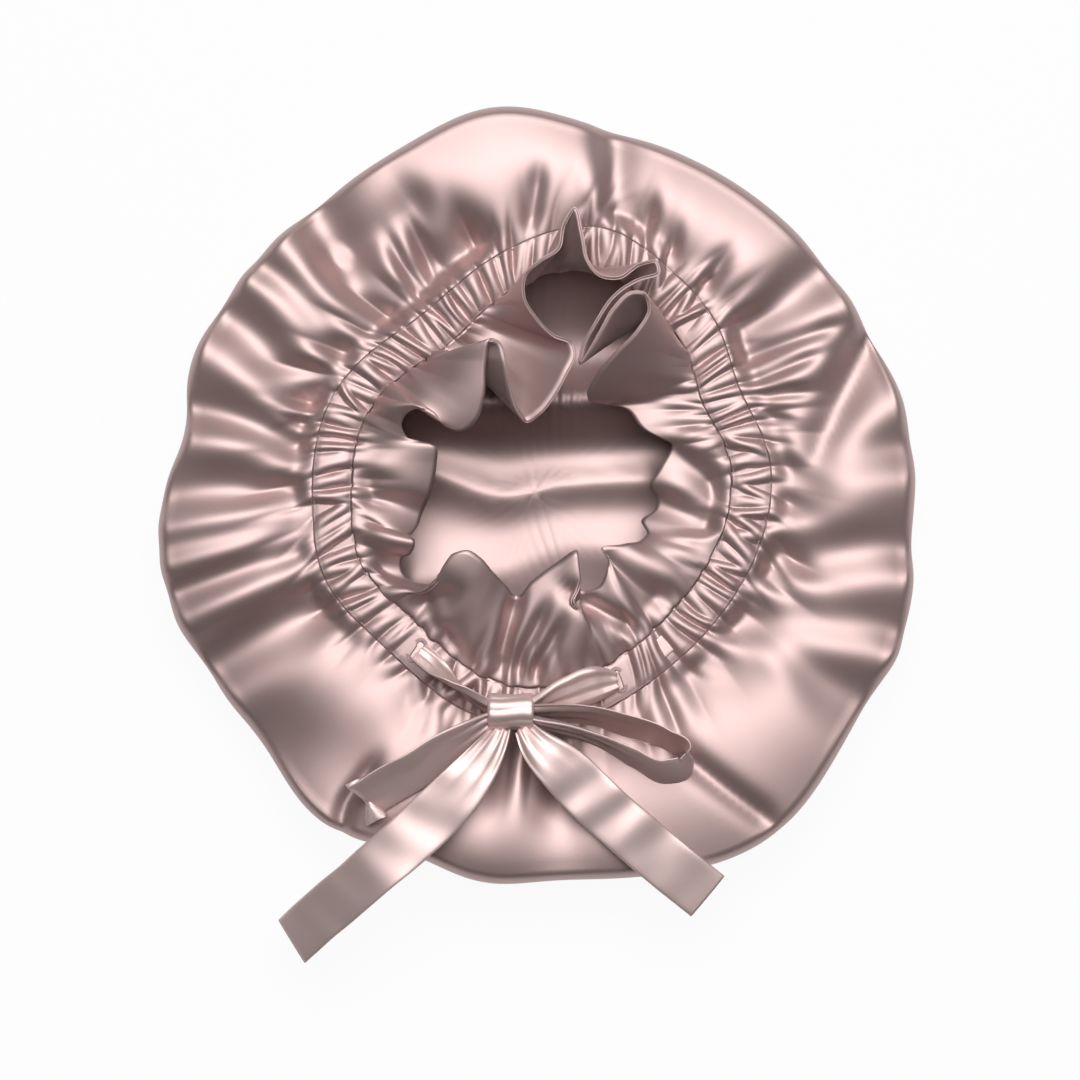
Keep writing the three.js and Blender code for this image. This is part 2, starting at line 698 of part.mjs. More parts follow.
// Tails: each leaves the knot's front, passes over the loop beside it and lies out past the crown.
// A way is a list of [right, back, rise] places: from the knot in the plan, and up from the crown.
const LEFT_TAIL_WAY = [
  [-17, -27, 11],
  [-35, -46, 10],
  [-60, -68, 9],
  [-76, -82, 2],
  [-92, -97, 0],
];
const RIGHT_TAIL_WAY = [
  [20, -22, 6],
  [36, -38, 3],
  [52, -52, 2],
  [66, -64, 1],
  [82, -77, 0],
];
const tailRoot = new THREE.Vector3(-1, 0, 0);

function tail(start, way) {
  const stations = way.map(([dx, dy, rise], k) => {
    const next = way[Math.min(k + 1, way.length - 1)];
    const last = way[Math.max(k - 1, 0)];
    const side = new THREE.Vector3(next[1] - last[1], last[0] - next[0], 0).normalize();
    return { at: onCrown(dx, dy, rise), side, width: RIBBON_WIDTH };
  });
  return ribbon([{ at: start, side: tailRoot, width: RIBBON_PINCH }, ...stations]);
}

const leftTailStart = fromKnot(-4, -knotFront - RIBBON_THICKNESS, 2);
const rightTailStart = fromKnot(4.4, -knotFront - 1.5 * RIBBON_THICKNESS, 2.4);
add("tail_left", tail(leftTailStart, LEFT_TAIL_WAY), RIBBON_COLOUR, 0.42);
add("tail_right", tail(rightTailStart, RIGHT_TAIL_WAY), RIBBON_COLOUR, 0.42);

export default bonnet;
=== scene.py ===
# A satin hair bonnet lying on its crown: the pieces are dressed in the order that it is sewn and tied.
# Points are worked out in millimetres and become metres when a mesh is made.

import json
import math

import bpy
import numpy as np
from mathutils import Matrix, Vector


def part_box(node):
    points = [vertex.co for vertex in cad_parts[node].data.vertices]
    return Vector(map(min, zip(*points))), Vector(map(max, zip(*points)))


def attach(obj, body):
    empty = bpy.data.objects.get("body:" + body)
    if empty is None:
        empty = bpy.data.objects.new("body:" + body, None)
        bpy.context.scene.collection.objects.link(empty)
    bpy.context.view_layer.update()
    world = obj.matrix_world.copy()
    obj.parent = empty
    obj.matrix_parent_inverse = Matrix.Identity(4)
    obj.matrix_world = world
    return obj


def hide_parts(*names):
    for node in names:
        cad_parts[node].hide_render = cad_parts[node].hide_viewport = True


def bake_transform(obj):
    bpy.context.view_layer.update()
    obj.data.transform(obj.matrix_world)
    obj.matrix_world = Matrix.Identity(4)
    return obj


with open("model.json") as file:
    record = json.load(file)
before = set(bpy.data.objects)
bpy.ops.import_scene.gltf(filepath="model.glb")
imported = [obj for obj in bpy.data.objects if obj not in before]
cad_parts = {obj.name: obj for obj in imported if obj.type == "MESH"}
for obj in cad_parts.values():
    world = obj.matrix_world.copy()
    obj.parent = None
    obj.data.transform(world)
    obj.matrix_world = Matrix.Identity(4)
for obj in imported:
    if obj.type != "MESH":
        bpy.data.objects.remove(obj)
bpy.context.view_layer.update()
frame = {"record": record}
bpy.ops.object.select_all(action="DESELECT")

# Crown bag of outer satin: one circle of cloth, gathered at the casing and puffed into loose folds.
# It rests on its middle, swells out at the side and comes in over the top to the casing's seam.
MM = 0.001
FULL_TURN = 360
CROWN_RADIUS = 155
CROWN_SIDE = 6
CROWN_TUCK = 18
EDGE_HEIGHT = 29
EDGE_ROUNDING = 14
CREST = 4
CASING_RADIUS = 88
CASING_HEIGHT = 38
CASING_EDGE = 7.5
SEAM_GAP = 1.7
CASING_HALF = CASING_EDGE + SEAM_GAP / 2
SATIN_THICKNESS = 0.4
HEAD_OPENING = 1
CASING_CENTRE = np.array(frame["record"]["mounts"][HEAD_OPENING]["pos_m"][:2]) / MM

# Swells of the outlines and of the edge's height: angle, spread in degrees, rise in millimetres.
CROWN_LOBES = [
    (8, 16, 5),
    (96, 12, 8),
    (130, 20, -3),
    (171, 6, -6),
    (195, 16, 6),
    (238, 12, 10),
    (262, 10, 9),
    (280, 14, 5),
    (304, 20, 20),
    (338, 14, 11),
]
EDGE_LOBES = [(268, 30, 2), (218, 14, -9), (70, 42, -6)]
CASING_LOBES = [
    (22, 16, -8),
    (76, 16, 7),
    (128, 28, -15),
    (208, 16, 6),
    (265, 30, 13),
]

# Valleys of the crown, read off the photo: depth in millimetres, how wide its banks are left and right
# of the way out, then pixels across and down from the casing outwards. Ridges rise between valleys.
CROWN_FOLDS = [
    (10, 14, 6, [(765, 576), (800, 570), (850, 560), (915, 550)]),
    (9, 10, 7, [(790, 505), (830, 478), (870, 455), (915, 440)]),
    (11, 10, 10, [(822, 478), (835, 440), (848, 395), (872, 330)]),
    (7, 9, 5, [(742, 432), (775, 466), (812, 490)]),
    (9, 7, 12, [(718, 352), (745, 330), (780, 302), (815, 272)]),
    (8, 3, 9, [(622, 250), (615, 200), (609, 150), (605, 125)]),
    (12, 8, 13, [(398, 345), (372, 322), (350, 295), (333, 262), (320, 225), (310, 190)]),
    (8, 7, 7, [(362, 372), (345, 352), (322, 325), (300, 298), (270, 272), (245, 252)]),
    (12, 9, 14, [(318, 412), (295, 395), (272, 365), (250, 332), (220, 300)]),
    (11, 8, 12, [(310, 462), (285, 440), (245, 422), (172, 403)]),
    (11, 5, 17, [(300, 498), (265, 500), (220, 504), (150, 512)]),
    (6, 6, 5, [(295, 528), (250, 533), (205, 541), (155, 548)]),
    (10, 9, 8, [(300, 547), (262, 556), (228, 570), (175, 590)]),
    (10, 10, 14, [(330, 605), (290, 622), (245, 645), (200, 672)]),
    (6, 10, 12, [(345, 765), (310, 755), (255, 745)]),
    (8, 8, 8, [(500, 745), (490, 780)]),
    (9, 9, 9, [(545, 755), (552, 785), (562, 806)]),
    (6, 6, 8, [(695, 668), (735, 672), (775, 668)]),
    (9, 14, 10, [(790, 672), (830, 688), (880, 702)]),
    (10, 13, 6, [(738, 628), (780, 628), (840, 630), (905, 634)]),
]
FOLD_STEPS = 24
FOLD_STEEPNESS = 0.8
BANK_LIMIT = 3
FOLD_FADE = 9
FOLD_SOFTENING = 22

# Creases and hollows of the crown: depth, half width and the pixels that they run along.
CROWN_CREASES = [
    (2.5, 2.5, [(735, 410), (770, 417)]),
    (3, 3, [(735, 398), (760, 398), (792, 395)]),
    (3.5, 3.5, [(730, 386), (765, 377), (800, 362)]),
    (4, 4.5, [(725, 366), (770, 350), (820, 332)]),
    (4, 4, [(678, 318), (692, 303), (714, 272)]),
    (3.5, 3.5, [(660, 285), (666, 265), (670, 250)]),
    (3.5, 3.5, [(640, 262), (645, 240), (648, 222)]),
    (3, 3, [(500, 290), (485, 262), (472, 240)]),
    (3, 3, [(445, 300), (432, 272), (420, 245)]),
    (3.5, 3.5, [(425, 305), (410, 280), (398, 255)]),
    (3, 2.5, [(345, 415), (312, 405)]),
    (4, 3, [(340, 440), (305, 425)]),
    (4, 4, [(365, 775), (348, 800), (340, 845)]),
    (4.5, 5, [(690, 760), (728, 790), (758, 812)]),
    (4.5, 8, [(818, 450), (838, 405), (862, 350)]),
    (9, 8, [(430, 893), (500, 908), (580, 908), (640, 900)]),
    (9, 17, [(430, 266), (452, 258), (472, 246)]),
    (3, 4, [(535, 262), (533, 225), (537, 190)]),
    (6, 13, [(338, 262), (370, 240), (412, 208)]),
]
CREASE_SHARPNESS = 1.7
PIXEL = 0.42
PHOTO_ORIGIN = (535, 492)

# Rolls that the gathering crowds the cloth into: they run across the casing and die out past its seams.
# Puckers carry on from them, each set with its count, height, peak and fade along the way from the seam.
# Calm places have lower puckers: angle, spread in degrees, share of the height that is taken off.
ROLLS = 112
ROLL_SEED = 31
ROLL_JITTER = 0.45
ROLL_SLANT = 0.22
ROLL_BEND = 0.005
ROLL_MIDDLE = (0, 6)
ROLL_HALF_LENGTH = (9, 19)
ROLL_HALF_WIDTH = (2, 3.8)
ROLL_HEIGHT = (1.4, 3.2)
ROLL_TAPER = 3
ROLL_FULLNESS = 0.8
ROLL_SPREAD = 0.02
ROLL_UNION = 4
ROLL_SETTLE = 1.2
SETTLE_FADE = 14
PUCKERS = [(45, 1.8, 16, 12)]
CALM_PLACES = [(56, 18, 0.9), (222, 22, 0.8), (320, 16, 0.6)]
PUCKER_UNEVENNESS = 0.35
PUCKER_WAVES = 24
GATHER_SEED = 11
PUCKER_SEED_STEP = 7
GATHER_SWINGS = range(2, 14)
GATHER_UNEVENNESS = 0.14
RIDGE_SHARPNESS = 1.2
RIDGE_MIDDLE = 0.6
CROWN_ANGLES = 840
SIDE_FULLNESS = 0.9
EDGE_NOTCH = 0.15
SIDE_NOTCH = 0.5


def apart(a, b):
    return (a - b + FULL_TURN / 2) % FULL_TURN - FULL_TURN / 2


def bumps(swells, angles):
    total = np.zeros_like(angles)
    for at, spread, size in swells:
        total += size * np.exp(-((apart(angles, at) / spread) ** 2))
    return total


def heading(angles):
    turn = np.radians(angles)
    return np.stack([np.cos(turn), np.sin(turn)], -1)


def raised(plan, height):
    return np.concatenate([plan, np.broadcast_to(height, plan.shape[:-1])[..., None]], -1)


def ease(low, high, x):
    share = np.clip((x - low) / (high - low), 0, 1)
    return share * share * (3 - 2 * share)


# Plan points of the casing, offset outwards from its middle line.
def casing_plan(angles, offset):
    radius = CASING_RADIUS + bumps(CASING_LOBES, angles) + offset
    return heading(angles) * radius[..., None] + CASING_CENTRE


# An uneven wave round the turn: count waves in all, crowded in places by seeded slow swings.
def gather_phase(angles, count):
    random = np.random.default_rng(GATHER_SEED + count)
    turn = np.radians(angles)
    phase = count * turn
    for swing in GATHER_SWINGS:
        size = random.normal(0, GATHER_UNEVENNESS * count / swing)
        phase = phase + size * np.sin(swing * turn + random.uniform(0, 2 * math.pi))
    return phase


# Rounded ridges with sharp valleys between them, about zero.
def ridges(phase):
    return np.abs(np.sin(phase / 2)) ** RIDGE_SHARPNESS - RIDGE_MIDDLE


def slow_noise(angles, seed, waves):
    random = np.random.default_rng(seed)
    turn = np.radians(angles)
    total = np.zeros_like(angles)
    for wave in range(1, waves):
        total += random.normal(0, 1) * np.sin(wave * turn + random.uniform(0, 2 * math.pi))
    return total / math.sqrt(waves / 2)


# A smooth curve through key rows at a number of evenly spaced places; the first three columns of a
# row are its place, and the other columns follow along.
def smooth_path(keys, count, first, last):
    chord = np.linalg.norm(np.diff(keys[:, :3], axis=0), axis=1)
    at = np.concatenate([[0], chord.cumsum()])
    step = np.diff(at)[:, None]
    slope = np.diff(keys, axis=0) / step
    tangent = np.empty_like(keys)
    tangent[1:-1] = (slope[:-1] * step[1:] + slope[1:] * step[:-1]) / (step[:-1] + step[1:])
    tangent[0] = slope[0]
    tangent[-1] = slope[-1]
    places = np.linspace(at[first], at[last], count)
    piece = np.clip(np.searchsorted(at, places, side="right") - 1, 0, len(keys) - 2)
    span = step[piece]
    t = (places[:, None] - at[piece][:, None]) / span
    start = keys[piece] * (1 + 2 * t) * (1 - t) ** 2 + tangent[piece] * span * t * (1 - t) ** 2
    return start + keys[piece + 1] * t * t * (3 - 2 * t) + tangent[piece + 1] * span * t * t * (t - 1)


def in_plan(across, down):
    return (across - PHOTO_ORIGIN[0]) * PIXEL, (PHOTO_ORIGIN[1] - down) * PIXEL


# Where points of the plan lie along and across a line of pixels; across is positive on its left.
def beside_line(plan, pixels):
    keys = np.array([(*in_plan(*pixel), 0) for pixel in pixels])
    line = smooth_path(keys, FOLD_STEPS, 0, len(keys) - 1)[:, :2]
    way = np.gradient(line, axis=0)
    way /= np.linalg.norm(way, axis=1, keepdims=True)
    nearest = np.stack([((plan - point) ** 2).sum(-1) for point in line]).argmin(0)
    offset = plan - line[nearest]
    along = (offset * way[nearest]).sum(-1)
    across = way[nearest, 0] * offset[..., 1] - way[nearest, 1] * offset[..., 0]
    return along, across


# Height of broad folds, as waves that run from each valley up to the ridge halfway to the next one.
def fold_rise(plan, folds):
    gaps = []
    shares = []
    for _, left, right, pixels in folds:
        along, across = beside_line(plan, pixels)
        gaps.append(np.hypot(along, across))
        shares.append(gaps[-1] / np.where(across > 0, left, right))
    nearest = np.argsort(shares, axis=0)[:2]
    first, second = np.take_along_axis(np.array(shares), nearest, 0)
    spacing = np.take_along_axis(np.array(gaps), nearest, 0).sum(0)
    depths = np.array([row[0] for row in folds])
    depth = np.minimum(depths[nearest[0]], FOLD_STEEPNESS * spacing / 2)
    climb = np.clip(2 * first / (first + np.minimum(second, BANK_LIMIT)), 0, 1)
    rise = -depth * (1 + np.cos(math.pi * climb)) / 2
    for _ in range(FOLD_SOFTENING):
        rise = (np.roll(rise, 1, 1) + 2 * rise + np.roll(rise, -1, 1)) / 4
        rise[1:-1] = (rise[:-2] + 2 * rise[1:-1] + rise[2:]) / 4
    return rise


# Height of separate creases.
def crease_rise(plan, creases):
    rise = np.zeros(plan.shape[:-1])
    for depth, width, pixels in creases:
        along, across = beside_line(plan, pixels)
        rise -= depth * np.exp(-np.abs(across / width) ** CREASE_SHARPNESS - (along / FOLD_FADE) ** 2)
    return rise


# Height of the rolls at a distance out from the casing's middle line; rolls that meet blend into one.
def gather_rolls(angles, offset):
    random = np.random.default_rng(ROLL_SEED)
    total = np.zeros(np.broadcast(angles, offset).shape)
    for roll in range(ROLLS):
        at = FULL_TURN * (roll + random.uniform(-ROLL_JITTER, ROLL_JITTER)) / ROLLS
        slant = random.normal(0, ROLL_SLANT)
        bend = random.normal(0, ROLL_BEND)
        middle = random.uniform(*ROLL_MIDDLE)
        half_length = random.uniform(*ROLL_HALF_LENGTH)
        half_width = random.uniform(*ROLL_HALF_WIDTH) * (1 + ROLL_SPREAD * np.abs(offset))
        taper = np.exp(-(np.abs((offset - middle) / half_length) ** ROLL_TAPER))
        height = random.uniform(*ROLL_HEIGHT) * taper
        along = np.radians(apart(angles, at)) * CASING_RADIUS - slant * offset - bend * offset**2
        bulge = (1 - (along / half_width) ** 2).clip(0) ** ROLL_FULLNESS
        total += (height * bulge) ** ROLL_UNION
    return total ** (1 / ROLL_UNION)


# The rolls on the cloth beyond a seam, settled about the seam's height; side is 1 outwards, -1 inwards.
def beyond_seam(angles, from_seam, side):
    settle = ROLL_SETTLE * np.exp(-((from_seam / SETTLE_FADE) ** 2))
    return gather_rolls(angles, side * (CASING_HALF + from_seam)) - settle


def crown_puckers(angles, from_seam):
    rise = beyond_seam(angles, from_seam, 1)
    for count, height, peak, fade in PUCKERS:
        uneven = slow_noise(angles, GATHER_SEED + PUCKER_SEED_STEP * count, PUCKER_WAVES)
        size = height * (1 + PUCKER_UNEVENNESS * uneven)
        size = size * (1 - bumps(CALM_PLACES, angles))
        rise += size * np.exp(-(((from_seam - peak) / fade) ** 2)) * ridges(gather_phase(angles, count))
    return rise


# Points of the bag. Stations 0 to 1 run out under it, 1 to 2 up the side and 2 to 3 in to the seam.
def crown_points(angles, stations, depth, pucker_share):
    angles = angles[None, :]
    stations = stations[:, None]
    out_line = heading(angles)
    widest = CROWN_RADIUS + bumps(CROWN_LOBES, angles)
    shoulder = widest - CROWN_SIDE
    seam = casing_plan(angles, CASING_HALF)
    lean = (np.clip(stations, 1, 2) - 1.5) * math.pi
    swell = np.cos(lean).clip(0) ** SIDE_FULLNESS
    climb = np.sign(lean) * np.abs(np.sin(lean)) ** SIDE_FULLNESS
    tuck = np.where(lean < 0, CROWN_TUCK, CROWN_SIDE) * (1 - swell)
    reach = (widest - tuck) * np.clip(stations, 0, 1)
    share = np.clip(stations - 2, 0, 1)
    plan = out_line * reach[..., None] * (1 - share)[..., None] + seam * share[..., None]
    edge = EDGE_HEIGHT + bumps(EDGE_LOBES, angles)
    height = edge + np.where(climb > 0, EDGE_ROUNDING, edge) * climb
    height = height + (CASING_HEIGHT - edge - EDGE_ROUNDING) * ease(0, 1, share)
    height = height + CREST * np.sin(np.pi * share)
    width = np.linalg.norm(out_line * shoulder[..., None] - seam, axis=-1)
    from_seam = np.maximum(3 - stations, 0) * width
    rise = fold_rise(plan, CROWN_FOLDS) + crease_rise(plan, CROWN_CREASES)
    rise = rise * ease(0, FOLD_FADE, from_seam)
    rise = np.maximum(rise + pucker_share * crown_puckers(angles, from_seam), -EDGE_ROUNDING)
    on_bag = np.where(stations > 1, 1, 0)
    upward = np.sin(lean)
    notch = np.cos(lean) * ((EDGE_NOTCH + SIDE_NOTCH * (-upward).clip(0)) * rise - depth) * on_bag
    lift = upward.clip(0) * rise - upward * depth * on_bag + depth * (1 - on_bag)
    return raised(plan + out_line * notch[..., None], np.maximum(height + lift, depth))


ROSE = (0.56, 0.415, 0.40)
ROSE_SHADE = (0.52, 0.38, 0.365)
SATIN_ROUGHNESS = 0.55
SATIN_METALLIC = 0.9
SATIN_SPECULAR = 0.5
SATIN_SHEEN = 0.1
SHEEN_ROUGHNESS = 0.4
CLOUD_SCALE = 16
CLOUD_DETAIL = 4
CLOUD_GLOSS = 0.05
WEAVE_SCALE = (400, 2600, 1)
WEAVE_DETAIL = 2
WEAVE_STRENGTH = 0.12
WEAVE_DEPTH = 0.0002


# Satin: a cloudy tint and gloss, and a fine weave of long floats that follows the cloth's UV map.
def satin(name, colour, shade, roughness=SATIN_ROUGHNESS, metallic=SATIN_METALLIC):
    material = bpy.data.materials.new(name)
    material.use_nodes = True
    nodes = material.node_tree.nodes
    links = material.node_tree.links
    shader = nodes["Principled BSDF"]
    shader.inputs["Metallic"].default_value = metallic
    shader.inputs["Specular IOR Level"].default_value = SATIN_SPECULAR
    shader.inputs["Sheen Weight"].default_value = SATIN_SHEEN
    shader.inputs["Sheen Roughness"].default_value = SHEEN_ROUGHNESS
    place = nodes.new("ShaderNodeTexCoord")
    cloud = nodes.new("ShaderNodeTexNoise")
    cloud.inputs["Scale"].default_value = CLOUD_SCALE
    cloud.inputs["Detail"].default_value = CLOUD_DETAIL
    links.new(place.outputs["Object"], cloud.inputs["Vector"])
    tint = nodes.new("ShaderNodeMix")
    tint.data_type = "RGBA"
    tint.inputs["A"].default_value = (*shade, 1)
    tint.inputs["B"].default_value = (*colour, 1)
    links.new(cloud.outputs["Fac"], tint.inputs["Factor"])
    links.new(tint.outputs["Result"], shader.inputs["Base Color"])
    gloss = nodes.new("ShaderNodeMapRange")
    gloss.inputs["To Min"].default_value = roughness - CLOUD_GLOSS
    gloss.inputs["To Max"].default_value = roughness + CLOUD_GLOSS
    links.new(cloud.outputs["Fac"], gloss.inputs["Value"])
    links.new(gloss.outputs["Result"], shader.inputs["Roughness"])
    weave_place = nodes.new("ShaderNodeMapping")
    weave_place.inputs["Scale"].default_value = WEAVE_SCALE
    links.new(place.outputs["UV"], weave_place.inputs["Vector"])
    floats = nodes.new("ShaderNodeTexNoise")
    floats.inputs["Scale"].default_value = 1
    floats.inputs["Detail"].default_value = WEAVE_DETAIL
    links.new(weave_place.outputs["Vector"], floats.inputs["Vector"])
    bump = nodes.new("ShaderNodeBump")
    bump.inputs["Strength"].default_value = WEAVE_STRENGTH
    bump.inputs["Distance"].default_value = WEAVE_DEPTH
    links.new(floats.outputs["Fac"], bump.inputs["Height"])
    links.new(bump.outputs["Normal"], shader.inputs["Normal"])
    return material


rose_satin = satin("rose_satin", ROSE, ROSE_SHADE)
MERGE_GAP = 1e-6


# A cloth mesh from rows of points, closed round its columns, with thickness on its back.
# Its UV map runs in metres along the columns and the rows, and keep may drop faces by their middles.
def cloth(name, points, material, thickness=SATIN_THICKNESS, keep=None):
    rows, columns = points.shape[:2]
    row, column = np.meshgrid(np.arange(rows - 1), np.arange(columns), indexing="ij")
    after = (column + 1) % columns
    corners = [row * columns + column, row * columns + after]
    corners += [(row + 1) * columns + after, (row + 1) * columns + column]
    faces = np.stack(corners, -1).reshape(-1, 4)
    along = np.linalg.norm(np.diff(points, axis=1), axis=2).mean() * MM
    down = np.linalg.norm(np.diff(points, axis=0), axis=2).mean(1).cumsum() * MM
    down = np.concatenate([[0], down])
    u = np.stack([column, column + 1, column + 1, column], -1) * along
    v = np.stack([down[row], down[row], down[row + 1], down[row + 1]], -1)
    uv = np.stack([u, v], -1).reshape(-1, 4, 2)
    flat = points.reshape(-1, 3)
    if keep is not None:
        kept = keep(flat[faces].mean(1))
        faces = faces[kept]
        uv = uv[kept]
    mesh = bpy.data.meshes.new(name)
    mesh.from_pydata((flat * MM).tolist(), [], faces.tolist())
    mesh.uv_layers.new(name="cloth").data.foreach_set("uv", uv.ravel())
    mesh.polygons.foreach_set("use_smooth", np.ones(len(faces), bool))
    piece = bpy.data.objects.new(name, mesh)
    bpy.context.scene.collection.objects.link(piece)
    mesh.materials.append(material)
    bpy.context.view_layer.objects.active = piece
    piece.select_set(True)
    bpy.ops.object.mode_set(mode="EDIT")
    bpy.ops.mesh.select_all(action="SELECT")
    bpy.ops.mesh.remove_doubles(threshold=MERGE_GAP)
    bpy.ops.mesh.delete_loose()
    bpy.ops.object.mode_set(mode="OBJECT")
    if thickness:
        wall = piece.modifiers.new("thickness", "SOLIDIFY")
        wall.thickness = thickness * MM
        wall.offset = -1
        bpy.ops.object.modifier_apply(modifier=wall.name)
    piece.select_set(False)
    return piece


def turns(count):
    return np.arange(count) * FULL_TURN / count


UNDER_ROWS = 7
SIDE_ROWS = 16
OVER_ROWS = 29
OVER_CROWDING = 1.5
under_rows = np.linspace(0, 1, UNDER_ROWS, endpoint=False)
side_rows = np.linspace(1, 2, SIDE_ROWS, endpoint=False)
over_rows = 3 - np.linspace(1, 0, OVER_ROWS) ** OVER_CROWDING
crown_stations = np.concatenate([under_rows, side_rows, over_rows])
bag_points = crown_points(turns(CROWN_ANGLES), crown_stations, 0, 1)
crown_outer = cloth("crown_satin", bag_points, rose_satin)
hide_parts("crown_outer")
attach(crown_outer, "bonnet")

# Lining of the bag: a second circle of the same satin inside the first, held by the same seam.
# Its floor shows through the mouth, where it lies in a few soft creases.
LINING_DEPTH = 3
LINING_FLOOR = 1
LINING_STRIDE = 3
FLOOR_ROWS = 47
FLOOR_SHARE = 0.85
# Ridges of the floor, written as the crown's creases are, with a depth below zero.
FLOOR_RIDGES = [
    (-19, 13, [(405, 402), (535, 400), (665, 396)]),
    (-30, 30, [(490, 232), (570, 236), (650, 240)]),
    (-5, 9, [(435, 474), (505, 496), (555, 486), (600, 482), (645, 480)]),
    (-4, 13, [(415, 580), (500, 572), (565, 548), (640, 552)]),
]
rose_lining = satin("rose_lining", ROSE, ROSE_SHADE)

floor_rows = np.linspace(0, 1, FLOOR_ROWS, endpoint=False)
lining_stations = np.concatenate([floor_rows, side_rows, over_rows])
lining_points = crown_points(turns(CROWN_ANGLES), lining_stations, LINING_DEPTH, 0)[:, ::LINING_STRIDE]
on_floor = (1 - ease(FLOOR_SHARE, 1, lining_stations))[:, None]
lining_points[..., 2] -= on_floor * (LINING_DEPTH - LINING_FLOOR)
lining_points[..., 2] += on_floor * crease_rise(lining_points[..., :2], FLOOR_RIDGES)
crown_lining = cloth("crown_lining_satin", lining_points, rose_lining)
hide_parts("crown_lining")
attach(crown_lining, "bonnet")

# Casing: the channel between the two rows of stitching, puckered all round by the elastic in it.
# The upper wall is outer satin with a slit for each tie, and the lower wall is lining.
CASING_ANGLES = 1200
CASING_ROWS = 26
CASING_DOME = 0.5
STITCH_PLACE = 0.9
GROOVE_WIDTH = 0.12
GROOVE_DEPTH = 0.2
BOW_ANGLE = 262.5
SLIT_ANGLE = 27
SLIT_LENGTH = 8.4
SLIT_WIDTH = 2.4
FLAT_ANGLE = 5
FLAT_SHARPNESS = 4
SLIT_ANGLES = {"left": BOW_ANGLE - SLIT_ANGLE, "right": BOW_ANGLE + SLIT_ANGLE}


# Height of the casing's cloth, where place runs from -1 at the frill to 1 at the crown.
def casing_height(angles, place):
    away = [np.abs(apart(angles, at)) / FLAT_ANGLE for at in SLIT_ANGLES.values()]
    flat = sum(np.exp(-(slit**FLAT_SHARPNESS)) for slit in away)
    dome = np.sqrt(np.clip(1 - place**2, 0, 1))
    groove = GROOVE_DEPTH * np.exp(-(((np.abs(place) - STITCH_PLACE) / GROOVE_WIDTH) ** 2))
    rolls = (gather_rolls(angles, place * CASING_HALF) - ROLL_SETTLE) * (1 - flat)
    return CASING_HEIGHT + CASING_DOME * dome + rolls - groove


def beside_slits(middles):
    clear = np.ones(len(middles), bool)
    for angle in SLIT_ANGLES.values():
        away = middles[:, :2] - casing_plan(np.array([angle]), 0)[0]
        out_line = heading(np.array(angle))
        length = np.abs(away @ out_line)
        width = np.abs(away @ np.array([-out_line[1], out_line[0]]))
        clear &= (length > SLIT_LENGTH / 2) | (width > SLIT_WIDTH / 2)
    return clear


casing_angles = turns(CASING_ANGLES)[None, :]
casing_places = np.linspace(1, -1, CASING_ROWS)[:, None]
casing_points = raised(
    casing_plan(casing_angles, casing_places * CASING_HALF), casing_height(casing_angles, casing_places)
)
casing_outer = cloth("casing_satin", casing_points, rose_satin, keep=beside_slits)
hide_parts("casing_outer")
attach(casing_outer, "bonnet")

LOWER_ANGLES = 360
LOWER_ROWS = 6
LOWER_HEIGHT = 35.4
LOWER_GAP = 1
LOWER_SHARPNESS = 4
lower_angles = turns(LOWER_ANGLES)[None, :]
lower_places = np.linspace(1, -1, LOWER_ROWS)[:, None]
lower_climb = (CASING_HEIGHT - LOWER_HEIGHT - LOWER_GAP) * lower_places**LOWER_SHARPNESS
lower_height = LOWER_HEIGHT + lower_climb
lower_points = raised(casing_plan(lower_angles, lower_places * CASING_HALF), lower_height)
casing_lining = cloth("casing_lining_satin", lower_points, rose_lining)
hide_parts("casing_lining")
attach(casing_lining, "bonnet")

# Elastic: a flat knitted band drawn through the channel, open where the bow is tied.
# A short length of ribbon is lapped on each of its ends by a bar tack and runs on to the slit.
ELASTIC_WIDTH = 10
ELASTIC_HEIGHT = 36.7
ELASTIC_THICKNESS = 0.6
ANCHOR_HEIGHT = 37.5
TACK_HEIGHT = 37.7
ELASTIC_SPAN = (-58.5, 223.5)
ANCHOR_SPANS = {"left": (218.3, 237.1), "right": (-72.1, -53.3)}
TACK_SPANS = {"left": (215.4, 218), "right": (-53, -50.4)}
CHANNEL_STEPS = 40
ELASTIC_STEPS = 300
ANCHOR_STEPS = 40
TACK_STEPS = 12
SECTION_POINTS = 14
EDGE_SQUARENESS = 12
PLEATS_ACROSS = 3
PLEAT_SHIFT = 6
RIPPLE_WAVES = range(2, 9)
RIPPLE_TWIST = 0.8


# Across a ribbon's section, from one edge to the other, closer together at the edges.
def section_places():
    return np.cos(np.linspace(0, math.pi, SECTION_POINTS))


